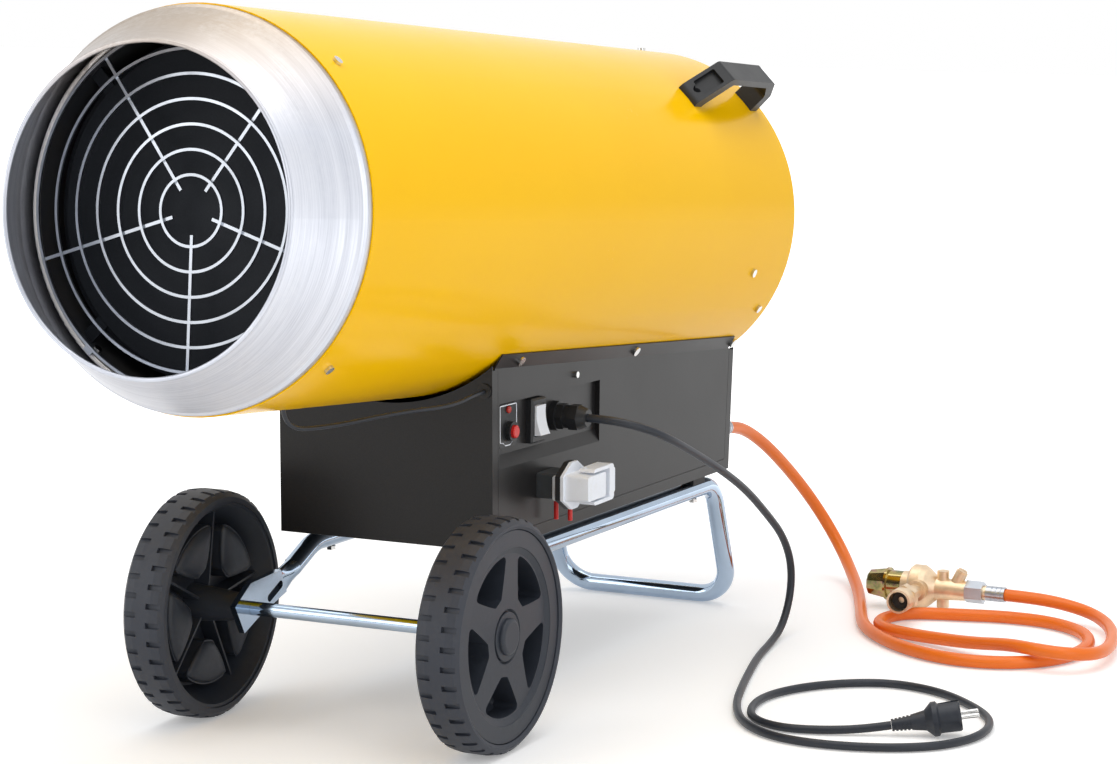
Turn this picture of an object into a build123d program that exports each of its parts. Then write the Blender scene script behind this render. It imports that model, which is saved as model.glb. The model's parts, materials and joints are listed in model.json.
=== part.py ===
from build123d import *
from math import atan2, cos, pi, radians, sin, sqrt, tan
import os

# Gas-fired forced-air heater: a tilted sheet-metal drum with an outlet cone, on a two-wheel tube cart.
# Millimetres, +Z up. The warm air leaves towards -Y, the controls are on the +X side, and the origin is
# on the floor under the middle of the heater. A "run" is a level distance behind the drum's front circle,
# and "back" is the same distance measured along the tilted drum.

# Sheet and clearances
SHEET = 1.5
GAP = 0.2            # between seated pieces
RUN_FIT = 0.05       # radial clearance of a shaft in its bore
MOVE_GAP = 0.5       # beside a part that moves

# Drum and outlet
DRUM_R = 200.0
DRUM_LEN = 1045.0
DRUM_TILT = 5.15
AXIS_H = 582.5       # height of the drum's axis at its front circle
NOZZLE_LEN = 87.0
LIP_R = DRUM_R - 37.6
LIP_ROLL = 2.5       # radius of the rolled front edge
NOZZLE_BEAD = 12.0   # straight band between the cone and the drum
NOZZLE_STEP = 5.0    # how far the cone starts inside the drum's radius
SPIGOT = 44.0        # how far the nozzle reaches into the drum

# Outlet grille
LAST_PITCH = 22.0    # between the last two rings
RING_COUNT = 7
FIRST_RING = 34.7    # radius of the smallest ring
RING_WIRE = 2.8
SPOKE_WIRE = 3.2
SPOKES = 5
GRILLE_SET = 84.0    # how far the grille sits behind the nozzle's lip
CLIP_COUNT = 3
CLIP_W = 10.0
CLIP_LEG = 18.0      # how far a clip's leg reaches into the chamber

# Combustion chamber and burner
CHAMBER_R = DRUM_R - 13.0
CHAMBER_FRONT = 4.0
CHAMBER_LEN = 438.0
CHAMBER_BEAD = 2.6   # radius of its rolled front edge
CHAMBER_HOLE_R = 7.0
CHAMBER_HOLES = 16
FLAME_DISC_R = CHAMBER_R - 19.0
FLAME_DISC_SET = 23.0
BURNER_R = 62.0
BURNER_LEN = 70.0
STAND_COUNT = 3
PIPE_R = 5.0
ROD_R = 3.5

# Fan and motor
FAN_BACK = 830.0
FAN_R = 184.0
FAN_HUB_R = 32.0
FAN_HUB_LEN = 42.0
BLADES = 5
SHAFT_R = 6.0
MOTOR_R = 62.0
MOTOR_LEN = 118.0
MOTOR_BACK = 878.0
ARM_W = 22.0
REAR_GRILLE_SET = 6.0
REAR_RINGS = 6

# Carrying handles
HANDLE_TURN = 45.0   # round the drum from its top
HANDLE_W = 30.0
HANDLE_RISE = 47.0
HANDLE_THICK = 9.0
HANDLE_FOOT = 20.0
HANDLE_START = 838.0
HANDLE_END = 1026.0
GRIP_START = 875.0
GRIP_END = 1000.0

# Base box
BOX_HALF = 131.0
BOX_FRONT = 372.0    # run of the front panel
BOX_BACK = 1034.5    # back of the rear panel, along the drum
BOX_FLOOR_H = 191.0  # height of the box's bottom at its front
BASE_RAKE = 0.85     # the box and the rails drop a little rearwards
RETURN = 13.0        # folded edge round the side covers
FOLD_DROP = 160.5    # the covers' top fold, below the drum's axis
ARC_GAP = 5.0        # panels stop this far from the drum
FLANGE_RISE = 15.0
BOLT_BACKS = (443.7, 736.7, 1018.0)
BOLT_R = 2.5

# Control recess and what is in it
RECESS_RUN = 389.5
RECESS_LEN = 246.0
RECESS_TOP = 347.5
RECESS_SLOPE = 1.5
RECESS_DEPTH = 6.0
RECESS_FLOOR = 56.0  # height of its flat back wall
RECESS_FADE = 14.0   # height of the slope below it
PLATE_SIZE = (42.0, 47.0)
PLATE_RUN = 418.0
PLATE_T = 1.2
SWITCH_RUN = 479.0
SWITCH_H = 318.0
SWITCH_SIZE = (34.0, 49.0)
SWITCH_OUT = 8.0
ROCKER_SIZE = (22.0, 34.0)
BUTTON_R = 7.0
BUTTON_TRAVEL = 3.0
GLAND_RUN = 531.0
GLAND_H = 315.0
GLAND_R = 16.5
GLAND_LEN = 42.0

# Thermostat connector
CONN_RUN = 497.0
CONN_H = 246.0
CONN_HOUSE = (44.0, 28.0, 26.0)   # along the heater, high, out from the cover
CONN_FLANGE = (58.0, 52.0)
CONN_GASKET = 6.0
HOOD_SIZE = (50.0, 27.0, 27.0)
PEG_OUT = 18.0       # the latch's pivot, out from the hood's foot
PEG_R = 3.0
LEVER_ARM = 4.0
LEVER_T = 18.0
LEVER_REAR = 44.0    # end of the latch's loop behind its pivot

# Cart
TUBE_R = 11.0
TUBE_WALL = 1.5
RAIL_X = 116.0
RAIL_DROP = 17.5     # rail centre below the box's bottom
RAIL_BEND = 415.0    # run where the rail turns down to the axle
RAIL_FALL = 24.0
REAR_BEND = 988.0
FOOT_RUN = 1045.0
BEND_R = 42.0
FLAT_T = 7.0
FLAT_H = 29.0
WHEEL_R = 124.0
WHEEL_W = 50.4
WHEEL_FACE = 200.8   # outer face of a wheel from the middle
AXLE_RUN = 281.6
AXLE_R = 7.5
TYRE_R = 112.0       # where the tyre sits on the rim
NOTCHES = 38
NOTCH_LEN = 19.0
HUB_R = 15.0
HUB_INNER = 128.0
WINDOW_R = 85.0
WINDOW_IN = 42.0
WINDOW_WALL = 2.6
WINDOW_WALL_H = 26.0
WHEEL_SPOKES = 5
WHEEL_SPOKE_AT = 81.0

# Gas inlet, hose and regulator; mains cord and plug
HOSE_R = 7.6
CORD_R = 4.6

COS = cos(radians(DRUM_TILT))
SIN = sin(radians(DRUM_TILT))
TAN = tan(radians(DRUM_TILT))
RAKE = tan(radians(BASE_RAKE))
Y0 = -((DRUM_LEN - NOZZLE_LEN) * COS + (DRUM_R - LIP_R) * SIN) / 2
DRUM_AXIS = Axis((0, Y0, AXIS_H), (0, COS, -SIN))
PROFILE = Plane(origin=(0, Y0, AXIS_H), x_dir=(1, 0, 0), z_dir=(0, SIN, COS))


def drum_plane(back=0.0, facing=1):
    """Plane across the drum, `back` mm behind its front circle: local Y up, local Z to the outlet."""
    origin = Vector(0, Y0 + back * COS, AXIS_H - back * SIN)
    if facing > 0:
        return Plane(origin=origin, x_dir=(1, 0, 0), z_dir=(0, -COS, SIN))
    return Plane(origin=origin, x_dir=(-1, 0, 0), z_dir=(0, COS, -SIN))


def radial_plane(back, turn, radius):
    """Plane touching a cylinder round the drum's axis, local Z outwards, `turn` degrees from its top to +X."""
    ring = drum_plane(back)
    out = (ring.x_dir * sin(radians(turn)) + ring.y_dir * cos(radians(turn)))
    return Plane(origin=ring.origin + out * radius, x_dir=DRUM_AXIS.direction, z_dir=out)


def under_drum(run, drop, x=0.0):
    """Point at a run, `drop` mm below the drum's axis."""
    return Vector(x, Y0 + run, AXIS_H - drop / COS - run * TAN)


def floor_of_box(run):
    return BOX_FLOOR_H - (run - BOX_FRONT) * RAKE


def panel_plane(run, height, x=BOX_HALF, slope=0.0):
    """Plane on the +X side cover: local X rearwards, local Y up, local Z out of the cover."""
    tilt = radians(slope)
    return Plane(origin=(x, Y0 + run, height), x_dir=(0, cos(tilt), -sin(tilt)), z_dir=(1, 0, 0))


def outline(plane, *points):
    """Closed straight-sided face."""
    with BuildSketch(plane) as face:
        with BuildLine():
            Polyline(*points, close=True)
        make_face()
    return face.sketch


def disc(plane, radius, hole=0.0):
    with BuildSketch(plane) as face:
        Circle(radius)
        if hole:
            Circle(hole, mode=Mode.SUBTRACT)
    return face.sketch


def plate(plane, width, height, corner=0.0):
    with BuildSketch(plane) as face:
        if corner:
            RectangleRounded(width, height, corner)
        else:
            Rectangle(width, height)
    return face.sketch


def turned(*points):
    """Profile of a piece turned round the drum's axis: radius, distance behind the front circle."""
    return outline(PROFILE, *points)


def side_view(*points):
    """Face in the middle plane of the heater: y, z."""
    return outline(Plane.YZ, *points)


def mirrored(piece):
    """The same piece on the other side of the heater."""
    with BuildPart() as other:
        add(piece.part.mirror(Plane.YZ))
    return other


# ---- Drum and outlet -------------------------------------------------------------------------------

NOZZLE_SCREWS = [radial_plane(32, turn, DRUM_R) for turn in (42.5, 136.5, -42.5, -136.5)]
REAR_SCREWS = [radial_plane(back, side * turn, DRUM_R) for back, turn in ((945, 108.5), (1017, 123))
               for side in (1, -1)] + [radial_plane(1012, 0, DRUM_R)]
HANDLE_SCREW_BACKS = (HANDLE_START + HANDLE_FOOT / 2, HANDLE_END - HANDLE_FOOT / 2)
HANDLE_SCREWS = [radial_plane(HANDLE_SCREW_BACKS[0], side * HANDLE_TURN, DRUM_R) for side in (1, -1)]
HANDLE_REAR_SCREWS = [radial_plane(HANDLE_SCREW_BACKS[1], side * HANDLE_TURN, DRUM_R) for side in (1, -1)]
HANDLE_FLOOR = 2.0   # thickness under the head of a handle's front screw
PIPE_RUN = 505.0      # the gas pipe's place along the heater
PIPE_PORT = under_drum(PIPE_RUN, DRUM_R)
PORT_R = 14.0


def flange_plane(side, back):
    """Middle of the sloping flange over a side cover, local Z out of it."""
    ring = drum_plane(back)
    foot = Vector(BOX_HALF, -FOLD_DROP)
    top_w = -FOLD_DROP + FLANGE_RISE
    top = Vector(sqrt((DRUM_R + GAP + SHEET) ** 2 - top_w ** 2), top_w)
    middle = (foot + top) / 2
    along = (top - foot).normalized()
    out = ring.x_dir * (side * along.Y) - ring.y_dir * along.X
    origin = ring.origin + ring.x_dir * (side * middle.X) + ring.y_dir * middle.Y
    return Plane(origin=origin, x_dir=DRUM_AXIS.direction, z_dir=out)


FLANGE_BOLTS = [flange_plane(side, back) for back in BOLT_BACKS for side in (1, -1)]


def make_drum():
    with BuildPart() as drum:
        revolve(turned((DRUM_R - SHEET, 0), (DRUM_R, 0), (DRUM_R, DRUM_LEN), (DRUM_R - SHEET, DRUM_LEN)), DRUM_AXIS)
        for spot in NOZZLE_SCREWS + REAR_SCREWS + HANDLE_SCREWS + HANDLE_REAR_SCREWS + FLANGE_BOLTS:
            extrude(disc(spot.offset(1), BOLT_R + GAP), amount=-30, mode=Mode.SUBTRACT)
        extrude(disc(Plane(origin=PIPE_PORT + Vector(0, 0, -10)), PORT_R), amount=40, mode=Mode.SUBTRACT)
        extrude(disc(Plane(origin=LEAD_ENTRY + Vector(0, 0, -8)), LEAD_R + GAP), amount=30, mode=Mode.SUBTRACT)
    return drum


def make_nozzle():
    inner = DRUM_R - SHEET - GAP
    cone_r = DRUM_R - NOZZLE_STEP
    lip = LIP_R - LIP_ROLL
    roll_back = -(NOZZLE_LEN - LIP_ROLL)
    with BuildPart() as nozzle:
        revolve(
            turned(
                (inner - SHEET, SPIGOT), (inner, SPIGOT), (inner, -NOZZLE_BEAD + 4), (cone_r, -NOZZLE_BEAD),
                (lip + LIP_ROLL / 2, roll_back), (lip - LIP_ROLL / 2, roll_back), (cone_r - SHEET, -NOZZLE_BEAD),
                (inner - SHEET, -NOZZLE_BEAD + 4),
            ),
            DRUM_AXIS,
        )
        with BuildSketch(PROFILE) as roll:
            with Locations((lip, roll_back)):
                Circle(LIP_ROLL)
        revolve(roll.sketch, DRUM_AXIS)
        for spot in NOZZLE_SCREWS:
            extrude(disc(spot, BOLT_R + GAP), amount=-30, mode=Mode.SUBTRACT)
    return nozzle


def pan_screw(spot, length, head_r=5.0):
    """Pan-head screw standing on its plane."""
    extrude(disc(spot.offset(GAP), head_r), amount=3.2)
    extrude(disc(spot.offset(GAP), BOLT_R), amount=-length)


def make_casing_screws():
    """Screws through the sheet: outlet cone, rear edge, handles, cover flanges and side cover, grille bolts."""
    with BuildPart() as screws:
        for spot in NOZZLE_SCREWS + REAR_SCREWS:
            pan_screw(spot, 8)
        for spot in HANDLE_SCREWS:
            pan_screw(spot.offset(HANDLE_FLOOR), 12, HEAD_R)
        for spot in HANDLE_REAR_SCREWS:
            pan_screw(Plane(origin=spot.offset(-SHEET).origin, z_dir=-spot.z_dir), HANDLE_GRIP, HEAD_R)
        for spot in FLANGE_BOLTS:
            pan_screw(spot, 14, HEAD_R + 1)
        pan_screw(panel_plane(*COVER_SCREW), 8, HEAD_R - 1)
        for spot in CLIP_SPOTS:
            pan_screw(Plane(origin=spot.origin, z_dir=-spot.z_dir), 8, HEAD_R)
    return screws


HEAD_R = 4.6
HANDLE_GRIP = 10.0   # length of the screw that holds a handle's rear foot, from inside the drum
GRILLE_BACK = GRILLE_SET - NOZZLE_LEN
OUTER_RING = CHAMBER_R - 8.5
RING_PITCH = (OUTER_RING - LAST_PITCH - FIRST_RING) / (RING_COUNT - 2)
CLIP_TURNS = [99 + 360 / CLIP_COUNT * i for i in range(CLIP_COUNT)]
CLIP_SEAT = CHAMBER_R - SHEET - GAP
CLIP_SPOTS = [radial_plane(CHAMBER_FRONT + 10, turn, CLIP_SEAT - SHEET) for turn in CLIP_TURNS]


def make_outlet_grille():
    plane = drum_plane(GRILLE_BACK)
    with BuildPart() as grille:
        for ring in range(RING_COUNT):
            radius = min(FIRST_RING + ring * RING_PITCH, OUTER_RING)
            extrude(disc(plane, radius + RING_WIRE / 2, radius - RING_WIRE / 2), amount=RING_WIRE / 2, both=True)
        start = FIRST_RING * 0.72
        for spoke in range(SPOKES):
            turn = 180 + 360 / SPOKES * spoke
            with BuildSketch(plane.offset(-RING_WIRE / 2)) as bar:
                with Locations(Rotation(0, 0, -turn)):
                    with Locations((0, (start + OUTER_RING) / 2)):
                        Rectangle(SPOKE_WIRE, OUTER_RING - start + RING_WIRE)
            extrude(bar.sketch, amount=-SPOKE_WIRE + 1)
        for turn, spot in zip(CLIP_TURNS, CLIP_SPOTS):
            with BuildSketch(plane) as ear:
                with Locations(Rotation(0, 0, -turn)):
                    with Locations((0, (OUTER_RING + CLIP_SEAT) / 2)):
                        Rectangle(CLIP_W, CLIP_SEAT - OUTER_RING)
            extrude(ear.sketch, amount=-SHEET)
            start = GRILLE_BACK + 0.2
            leg = radial_plane(start + CLIP_LEG / 2, turn, CLIP_SEAT - SHEET)
            extrude(plate(leg, CLIP_LEG, CLIP_W), amount=SHEET)
            extrude(disc(spot.offset(-1), BOLT_R + GAP), amount=6, mode=Mode.SUBTRACT)
    return grille


# ---- Burner ----------------------------------------------------------------------------------------


def make_chamber():
    rear = CHAMBER_FRONT + CHAMBER_LEN
    with BuildPart() as chamber:
        revolve(
            turned(
                (CHAMBER_R, CHAMBER_FRONT + 1), (CHAMBER_R, rear), (BURNER_R + 4, rear),
                (BURNER_R + 4, rear - SHEET), (CHAMBER_R - SHEET, rear - SHEET), (CHAMBER_R - SHEET, CHAMBER_FRONT + 1),
            ),
            DRUM_AXIS,
        )
        with BuildSketch(PROFILE) as bead:
            with Locations((CHAMBER_R - SHEET + CHAMBER_BEAD, CHAMBER_FRONT + CHAMBER_BEAD)):
                Circle(CHAMBER_BEAD)
        revolve(bead.sketch, DRUM_AXIS)
        for spot in CLIP_SPOTS:
            extrude(disc(spot, BOLT_R + GAP), amount=9, mode=Mode.SUBTRACT)
        for back in (120, 300):
            for hole in range(CHAMBER_HOLES):
                spot = radial_plane(back, 360 / CHAMBER_HOLES * hole, CHAMBER_R - 10)
                extrude(disc(spot, CHAMBER_HOLE_R), amount=20, mode=Mode.SUBTRACT)
    return chamber


def make_chamber_stands():
    """Sheet feet that hold the chamber in the middle of the drum."""
    low, high = CHAMBER_R + GAP, DRUM_R - SHEET - GAP
    with BuildPart() as stands:
        for back in (60, 380):
            for stand in range(STAND_COUNT):
                spot = radial_plane(back, 60 + 360 / STAND_COUNT * stand, (low + high) / 2)
                half = (high - low) / 2
                with BuildSketch(Plane(origin=spot.origin, x_dir=spot.z_dir, z_dir=spot.x_dir)) as foot:
                    Rectangle(2 * half - 1.6, SHEET)
                    with Locations((-half + SHEET / 2 + 1.0, 7)):
                        Rectangle(SHEET, 14 + SHEET)
                    with Locations((half - SHEET / 2 - 1.2, -7)):
                        Rectangle(SHEET, 14 + SHEET)
                extrude(foot.sketch, amount=15, both=True)
    return stands


def make_flame_disc():
    back = GRILLE_BACK + FLAME_DISC_SET
    with BuildPart() as flame_disc:
        revolve(
            turned((0, back), (FLAME_DISC_R - 8, back), (FLAME_DISC_R, back + 6), (FLAME_DISC_R, back + 6 + SHEET),
                   (FLAME_DISC_R - 9, back + SHEET), (0, back + SHEET)),
            DRUM_AXIS,
        )
        for leg in range(4):
            with BuildSketch(drum_plane(back + 2 + SHEET)) as tab:
                with Locations(Rotation(0, 0, 45 + 90 * leg)):
                    with Locations(((FLAME_DISC_R - 20 + CHAMBER_R - SHEET - GAP) / 2, 0)):
                        Rectangle(CHAMBER_R - SHEET - GAP - FLAME_DISC_R + 20, 14)
            extrude(tab.sketch, amount=SHEET + 1.5, both=True)
    return flame_disc


def make_burner_cup():
    rear = CHAMBER_FRONT + CHAMBER_LEN + GAP
    front = rear - BURNER_LEN
    with BuildPart() as cup:
        revolve(
            turned((BURNER_R - SHEET, front), (BURNER_R, front), (BURNER_R - 14, rear - 4), (BURNER_R - 14, rear),
                   (BURNER_R + 12, rear), (BURNER_R + 12, rear + SHEET), (12, rear + SHEET), (12, rear),
                   (BURNER_R - 16, rear), (BURNER_R - 16, rear - 4)),
            DRUM_AXIS,
        )
        with BuildSketch(drum_plane(rear + 5)) as ports:
            with PolarLocations(30, 8):
                Circle(5)
        extrude(ports.sketch, amount=10, mode=Mode.SUBTRACT)
        for turn in (60, 300):
            with BuildSketch(drum_plane(rear + 5)) as rod_hole:
                with Locations(Rotation(0, 0, -turn)):
                    with Locations((0, BURNER_R - 9)):
                        Circle(ROD_R + GAP)
            extrude(rod_hole.sketch, amount=BURNER_LEN + 10, mode=Mode.SUBTRACT)
    return cup


def make_gas_jet():
    rear = CHAMBER_FRONT + CHAMBER_LEN
    with BuildPart() as jet:
        with BuildSketch(drum_plane(rear + SHEET + 2 * GAP)) as nut:
            RegularPolygon(15, 6)
        extrude(nut.sketch, amount=-16)
        extrude(disc(drum_plane(rear + SHEET + 2 * GAP), 11.5), amount=24)
        extrude(disc(drum_plane(rear - 22), 1.0), amount=8, mode=Mode.SUBTRACT)
    return jet


def make_rod(turn, reach, wire):
    """Ceramic-sleeved rod through the burner's back plate, with a bent metal tip."""
    rear = CHAMBER_FRONT + CHAMBER_LEN
    base = drum_plane(rear + 34)
    where = Vector(0, BURNER_R - 9).rotate(Axis.Z, -turn)
    with BuildPart() as rod:
        with BuildSketch(base) as sleeve:
            with Locations((where.X, where.Y)):
                Circle(ROD_R)
        extrude(sleeve.sketch, amount=reach)
        with BuildSketch(base) as collar:
            with Locations((where.X, where.Y)):
                Circle(ROD_R + 3)
        extrude(collar.sketch, amount=34 - SHEET - 3 * GAP)
        with BuildSketch(base) as tip:
            with Locations((where.X, where.Y)):
                Circle(wire)
        extrude(tip.sketch, amount=reach + 30)
    return rod


def make_gas_pipe():
    """Pipe from the valve in the box up through the drum to the jet."""
    jet_back = CHAMBER_FRONT + CHAMBER_LEN + SHEET + 2 * GAP + 16
    start = drum_plane(jet_back).origin
    route = (
        start,
        start + DRUM_AXIS.direction * 42,
        Vector(0, PIPE_PORT.Y, AXIS_H - DRUM_R * 0.65),
        Vector(0, PIPE_PORT.Y, PIPE_PORT.Z - 45),
    )
    with BuildPart() as pipe:
        with BuildLine() as path:
            FilletPolyline(*route, radius=20)
        with BuildSketch(Plane(origin=start, z_dir=DRUM_AXIS.direction)) as ring:
            Circle(PIPE_R)
        sweep(ring.sketch, path=path.wire())
    return pipe


# ---- Fan and motor ---------------------------------------------------------------------------------


def make_fan():
    """Hub with five twisted blades."""
    hub = drum_plane(FAN_BACK + FAN_HUB_LEN / 2)
    with BuildPart() as fan:
        extrude(disc(hub, FAN_HUB_R), amount=FAN_HUB_LEN)
        for blade in range(BLADES):
            turn = 360 / BLADES * blade
            stations = ((FAN_HUB_R - 4, 52, 54, 9), (FAN_R * 0.6, 40, 74, 8), (FAN_R, 26, 80, 5))
            sections = []
            for radius, pitch, chord, camber in stations:
                spot = radial_plane(FAN_BACK, turn, radius)
                skew = Plane(origin=spot.origin, x_dir=spot.x_dir.rotate(Axis(spot.origin, spot.z_dir), 90 - pitch),
                             z_dir=spot.z_dir)
                with BuildSketch(skew) as section:
                    with BuildLine():
                        ThreePointArc((-chord / 2, 0), (0, camber), (chord / 2, 0))
                        ThreePointArc((chord / 2, 0), (0, camber - 3), (-chord / 2, 0))
                    make_face()
                sections.append(section.sketch)
            loft(sections=sections)
        extrude(disc(hub.offset(-1), SHAFT_R + RUN_FIT), amount=FAN_HUB_LEN + 2, mode=Mode.SUBTRACT)
    return fan


def make_motor_shaft():
    with BuildPart() as shaft:
        front = drum_plane(FAN_BACK - FAN_HUB_LEN / 2 - 16)
        length = MOTOR_BACK + MOTOR_LEN - 20 - (FAN_BACK - FAN_HUB_LEN / 2 - 16)
        extrude(disc(front, SHAFT_R), amount=-length)
    return shaft


def make_motor():
    with BuildPart() as motor:
        front = drum_plane(MOTOR_BACK)
        extrude(disc(front, MOTOR_R), amount=-MOTOR_LEN)
        fillet(motor.edges().filter_by(GeomType.CIRCLE), 10)
        extrude(disc(front.offset(-1), 22), amount=9)
        extrude(disc(front.offset(10), SHAFT_R + RUN_FIT), amount=-MOTOR_LEN, mode=Mode.SUBTRACT)
        for rib in range(12):
            spot = radial_plane(MOTOR_BACK + MOTOR_LEN / 2, 30 * rib + 15, MOTOR_R - 1)
            extrude(plate(spot, MOTOR_LEN - 66, 3), amount=3.5)
    return motor


def make_motor_bracket():
    """Three arms from a clamp ring round the motor out to the drum."""
    ring_r = MOTOR_R + 3
    plane = drum_plane(MOTOR_BACK + MOTOR_LEN - 16)
    with BuildPart() as bracket:
        extrude(disc(plane, ring_r + 3, MOTOR_R + GAP), amount=14)
        for arm in range(3):
            with BuildSketch(plane) as bar:
                with Locations(Rotation(0, 0, 90 + 120 * arm)):
                    with Locations(((ring_r + DRUM_R - SHEET - GAP) / 2 + 0.5, 0)):
                        Rectangle(DRUM_R - SHEET - 2 * GAP - ring_r - 1.5, ARM_W)
            extrude(bar.sketch, amount=3)
    return bracket


def make_rear_grille():
    """Pressed wire guard that closes the air inlet."""
    plane = drum_plane(DRUM_LEN - REAR_GRILLE_SET)
    outer = DRUM_R - SHEET - GAP - 0.5
    pitch = (outer - 34) / REAR_RINGS
    with BuildPart() as guard:
        extrude(disc(plane, 34), amount=2)
        for ring in range(REAR_RINGS):
            radius = outer - ring * pitch
            extrude(disc(plane, radius, radius - 3), amount=3)
        for spoke in range(8):
            with BuildSketch(plane.offset(2)) as bar:
                with Locations(Rotation(0, 0, 45 * spoke)):
                    with Locations((outer / 2 + 14, 0)):
                        Rectangle(outer - 30, 3.5)
            extrude(bar.sketch, amount=-4)
    return guard


# ---- Handles ---------------------------------------------------------------------------------------


def make_handle(side):
    """Moulded strap along the drum, with a pocket in its front leg over the screw."""
    middle = radial_plane(0, side * HANDLE_TURN, 0)
    tangent = middle.z_dir.cross(middle.x_dir)
    view = Plane(origin=middle.origin, x_dir=middle.x_dir, z_dir=-tangent)
    flip = 1 if view.y_dir.dot(middle.z_dir) > 0 else -1
    top = DRUM_R + HANDLE_RISE
    seat = DRUM_R - 30
    under = top - HANDLE_THICK

    def p(back, radius):
        return (back, flip * radius)

    with BuildPart() as handle:
        with BuildSketch(view) as outer:
            with BuildLine():
                FilletPolyline(
                    p(HANDLE_START, seat), p(HANDLE_START, DRUM_R + 6), p(GRIP_START, top), p(GRIP_END, top),
                    p(HANDLE_END - 3, DRUM_R + 26), p(HANDLE_END, seat), radius=9, close=True,
                )
            make_face()
        extrude(outer.sketch, amount=HANDLE_W / 2, both=True)
        with BuildSketch(view) as inner:
            with BuildLine():
                FilletPolyline(
                    p(HANDLE_START + HANDLE_FOOT + 1, seat), p(HANDLE_START + HANDLE_FOOT, DRUM_R + 2),
                    p(GRIP_START + 13, under), p(GRIP_END - 12, under),
                    p(HANDLE_END - HANDLE_FOOT + 1, DRUM_R + 24), p(HANDLE_END - HANDLE_FOOT - 2, seat),
                    radius=7, close=True,
                )
            make_face()
        extrude(inner.sketch, amount=HANDLE_W, both=True, mode=Mode.SUBTRACT)
        revolve(turned((0, -10), (DRUM_R + GAP, -10), (DRUM_R + GAP, DRUM_LEN + 10), (0, DRUM_LEN + 10)), DRUM_AXIS,
                mode=Mode.SUBTRACT)
        slope = atan2(HANDLE_RISE - 4, GRIP_START - HANDLE_START)
        leg = Vector(*p((HANDLE_START + GRIP_START) / 2 + 1, DRUM_R + 4 + (HANDLE_RISE - 4) / 2 + 1))
        face_dir = middle.x_dir * cos(slope) + middle.z_dir * sin(slope)
        out_dir = middle.z_dir * cos(slope) - middle.x_dir * sin(slope)
        spot = view.from_local_coords(leg)
        pocket = Plane(origin=spot, x_dir=face_dir, z_dir=out_dir)
        extrude(plate(pocket.offset(-6), 31, HANDLE_W - 9, 2), amount=20, mode=Mode.SUBTRACT)
        for back in HANDLE_SCREW_BACKS:
            hole = radial_plane(back, side * HANDLE_TURN, DRUM_R - 5)
            extrude(disc(hole, BOLT_R + GAP), amount=14, mode=Mode.SUBTRACT)
        front_leg = radial_plane(HANDLE_SCREW_BACKS[0], side * HANDLE_TURN, DRUM_R + HANDLE_FLOOR)
        extrude(disc(front_leg, HEAD_R + 1.4), amount=40, mode=Mode.SUBTRACT)
    return handle


# ---- Base box and its covers -----------------------------------------------------------------------

LEAD_R = 2.2
LEAD_ENTRY = under_drum(96, sqrt(DRUM_R ** 2 - 40 ** 2), 40)
GROMMET_AT = Vector(BOX_HALF - 9, Y0 + BOX_FRONT, 363.5)
GROMMET_R = 5.5
INLET_HOLE_R = 11.0
INLET_X = 112.0
INLET_DROP = 262.0   # below the drum's axis, on the rear panel


def fold_at(run):
    """The covers' top fold."""
    return AXIS_H - FOLD_DROP / COS - run * TAN


def rear_corner(offset=0.0):
    """Run and height where the rear panel meets the box's bottom, `offset` mm in front of its outer face."""
    back = BOX_BACK - offset
    drop = (AXIS_H - back * SIN - BOX_FLOOR_H + (back * COS - BOX_FRONT) * RAKE) / (COS + SIN * RAKE)
    return back * COS - drop * SIN, floor_of_box(back * COS - drop * SIN)


def rear_top(offset=0.0, drop=FOLD_DROP):
    back = BOX_BACK - offset
    return back * COS - drop * SIN, AXIS_H - drop * COS - back * SIN


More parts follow.
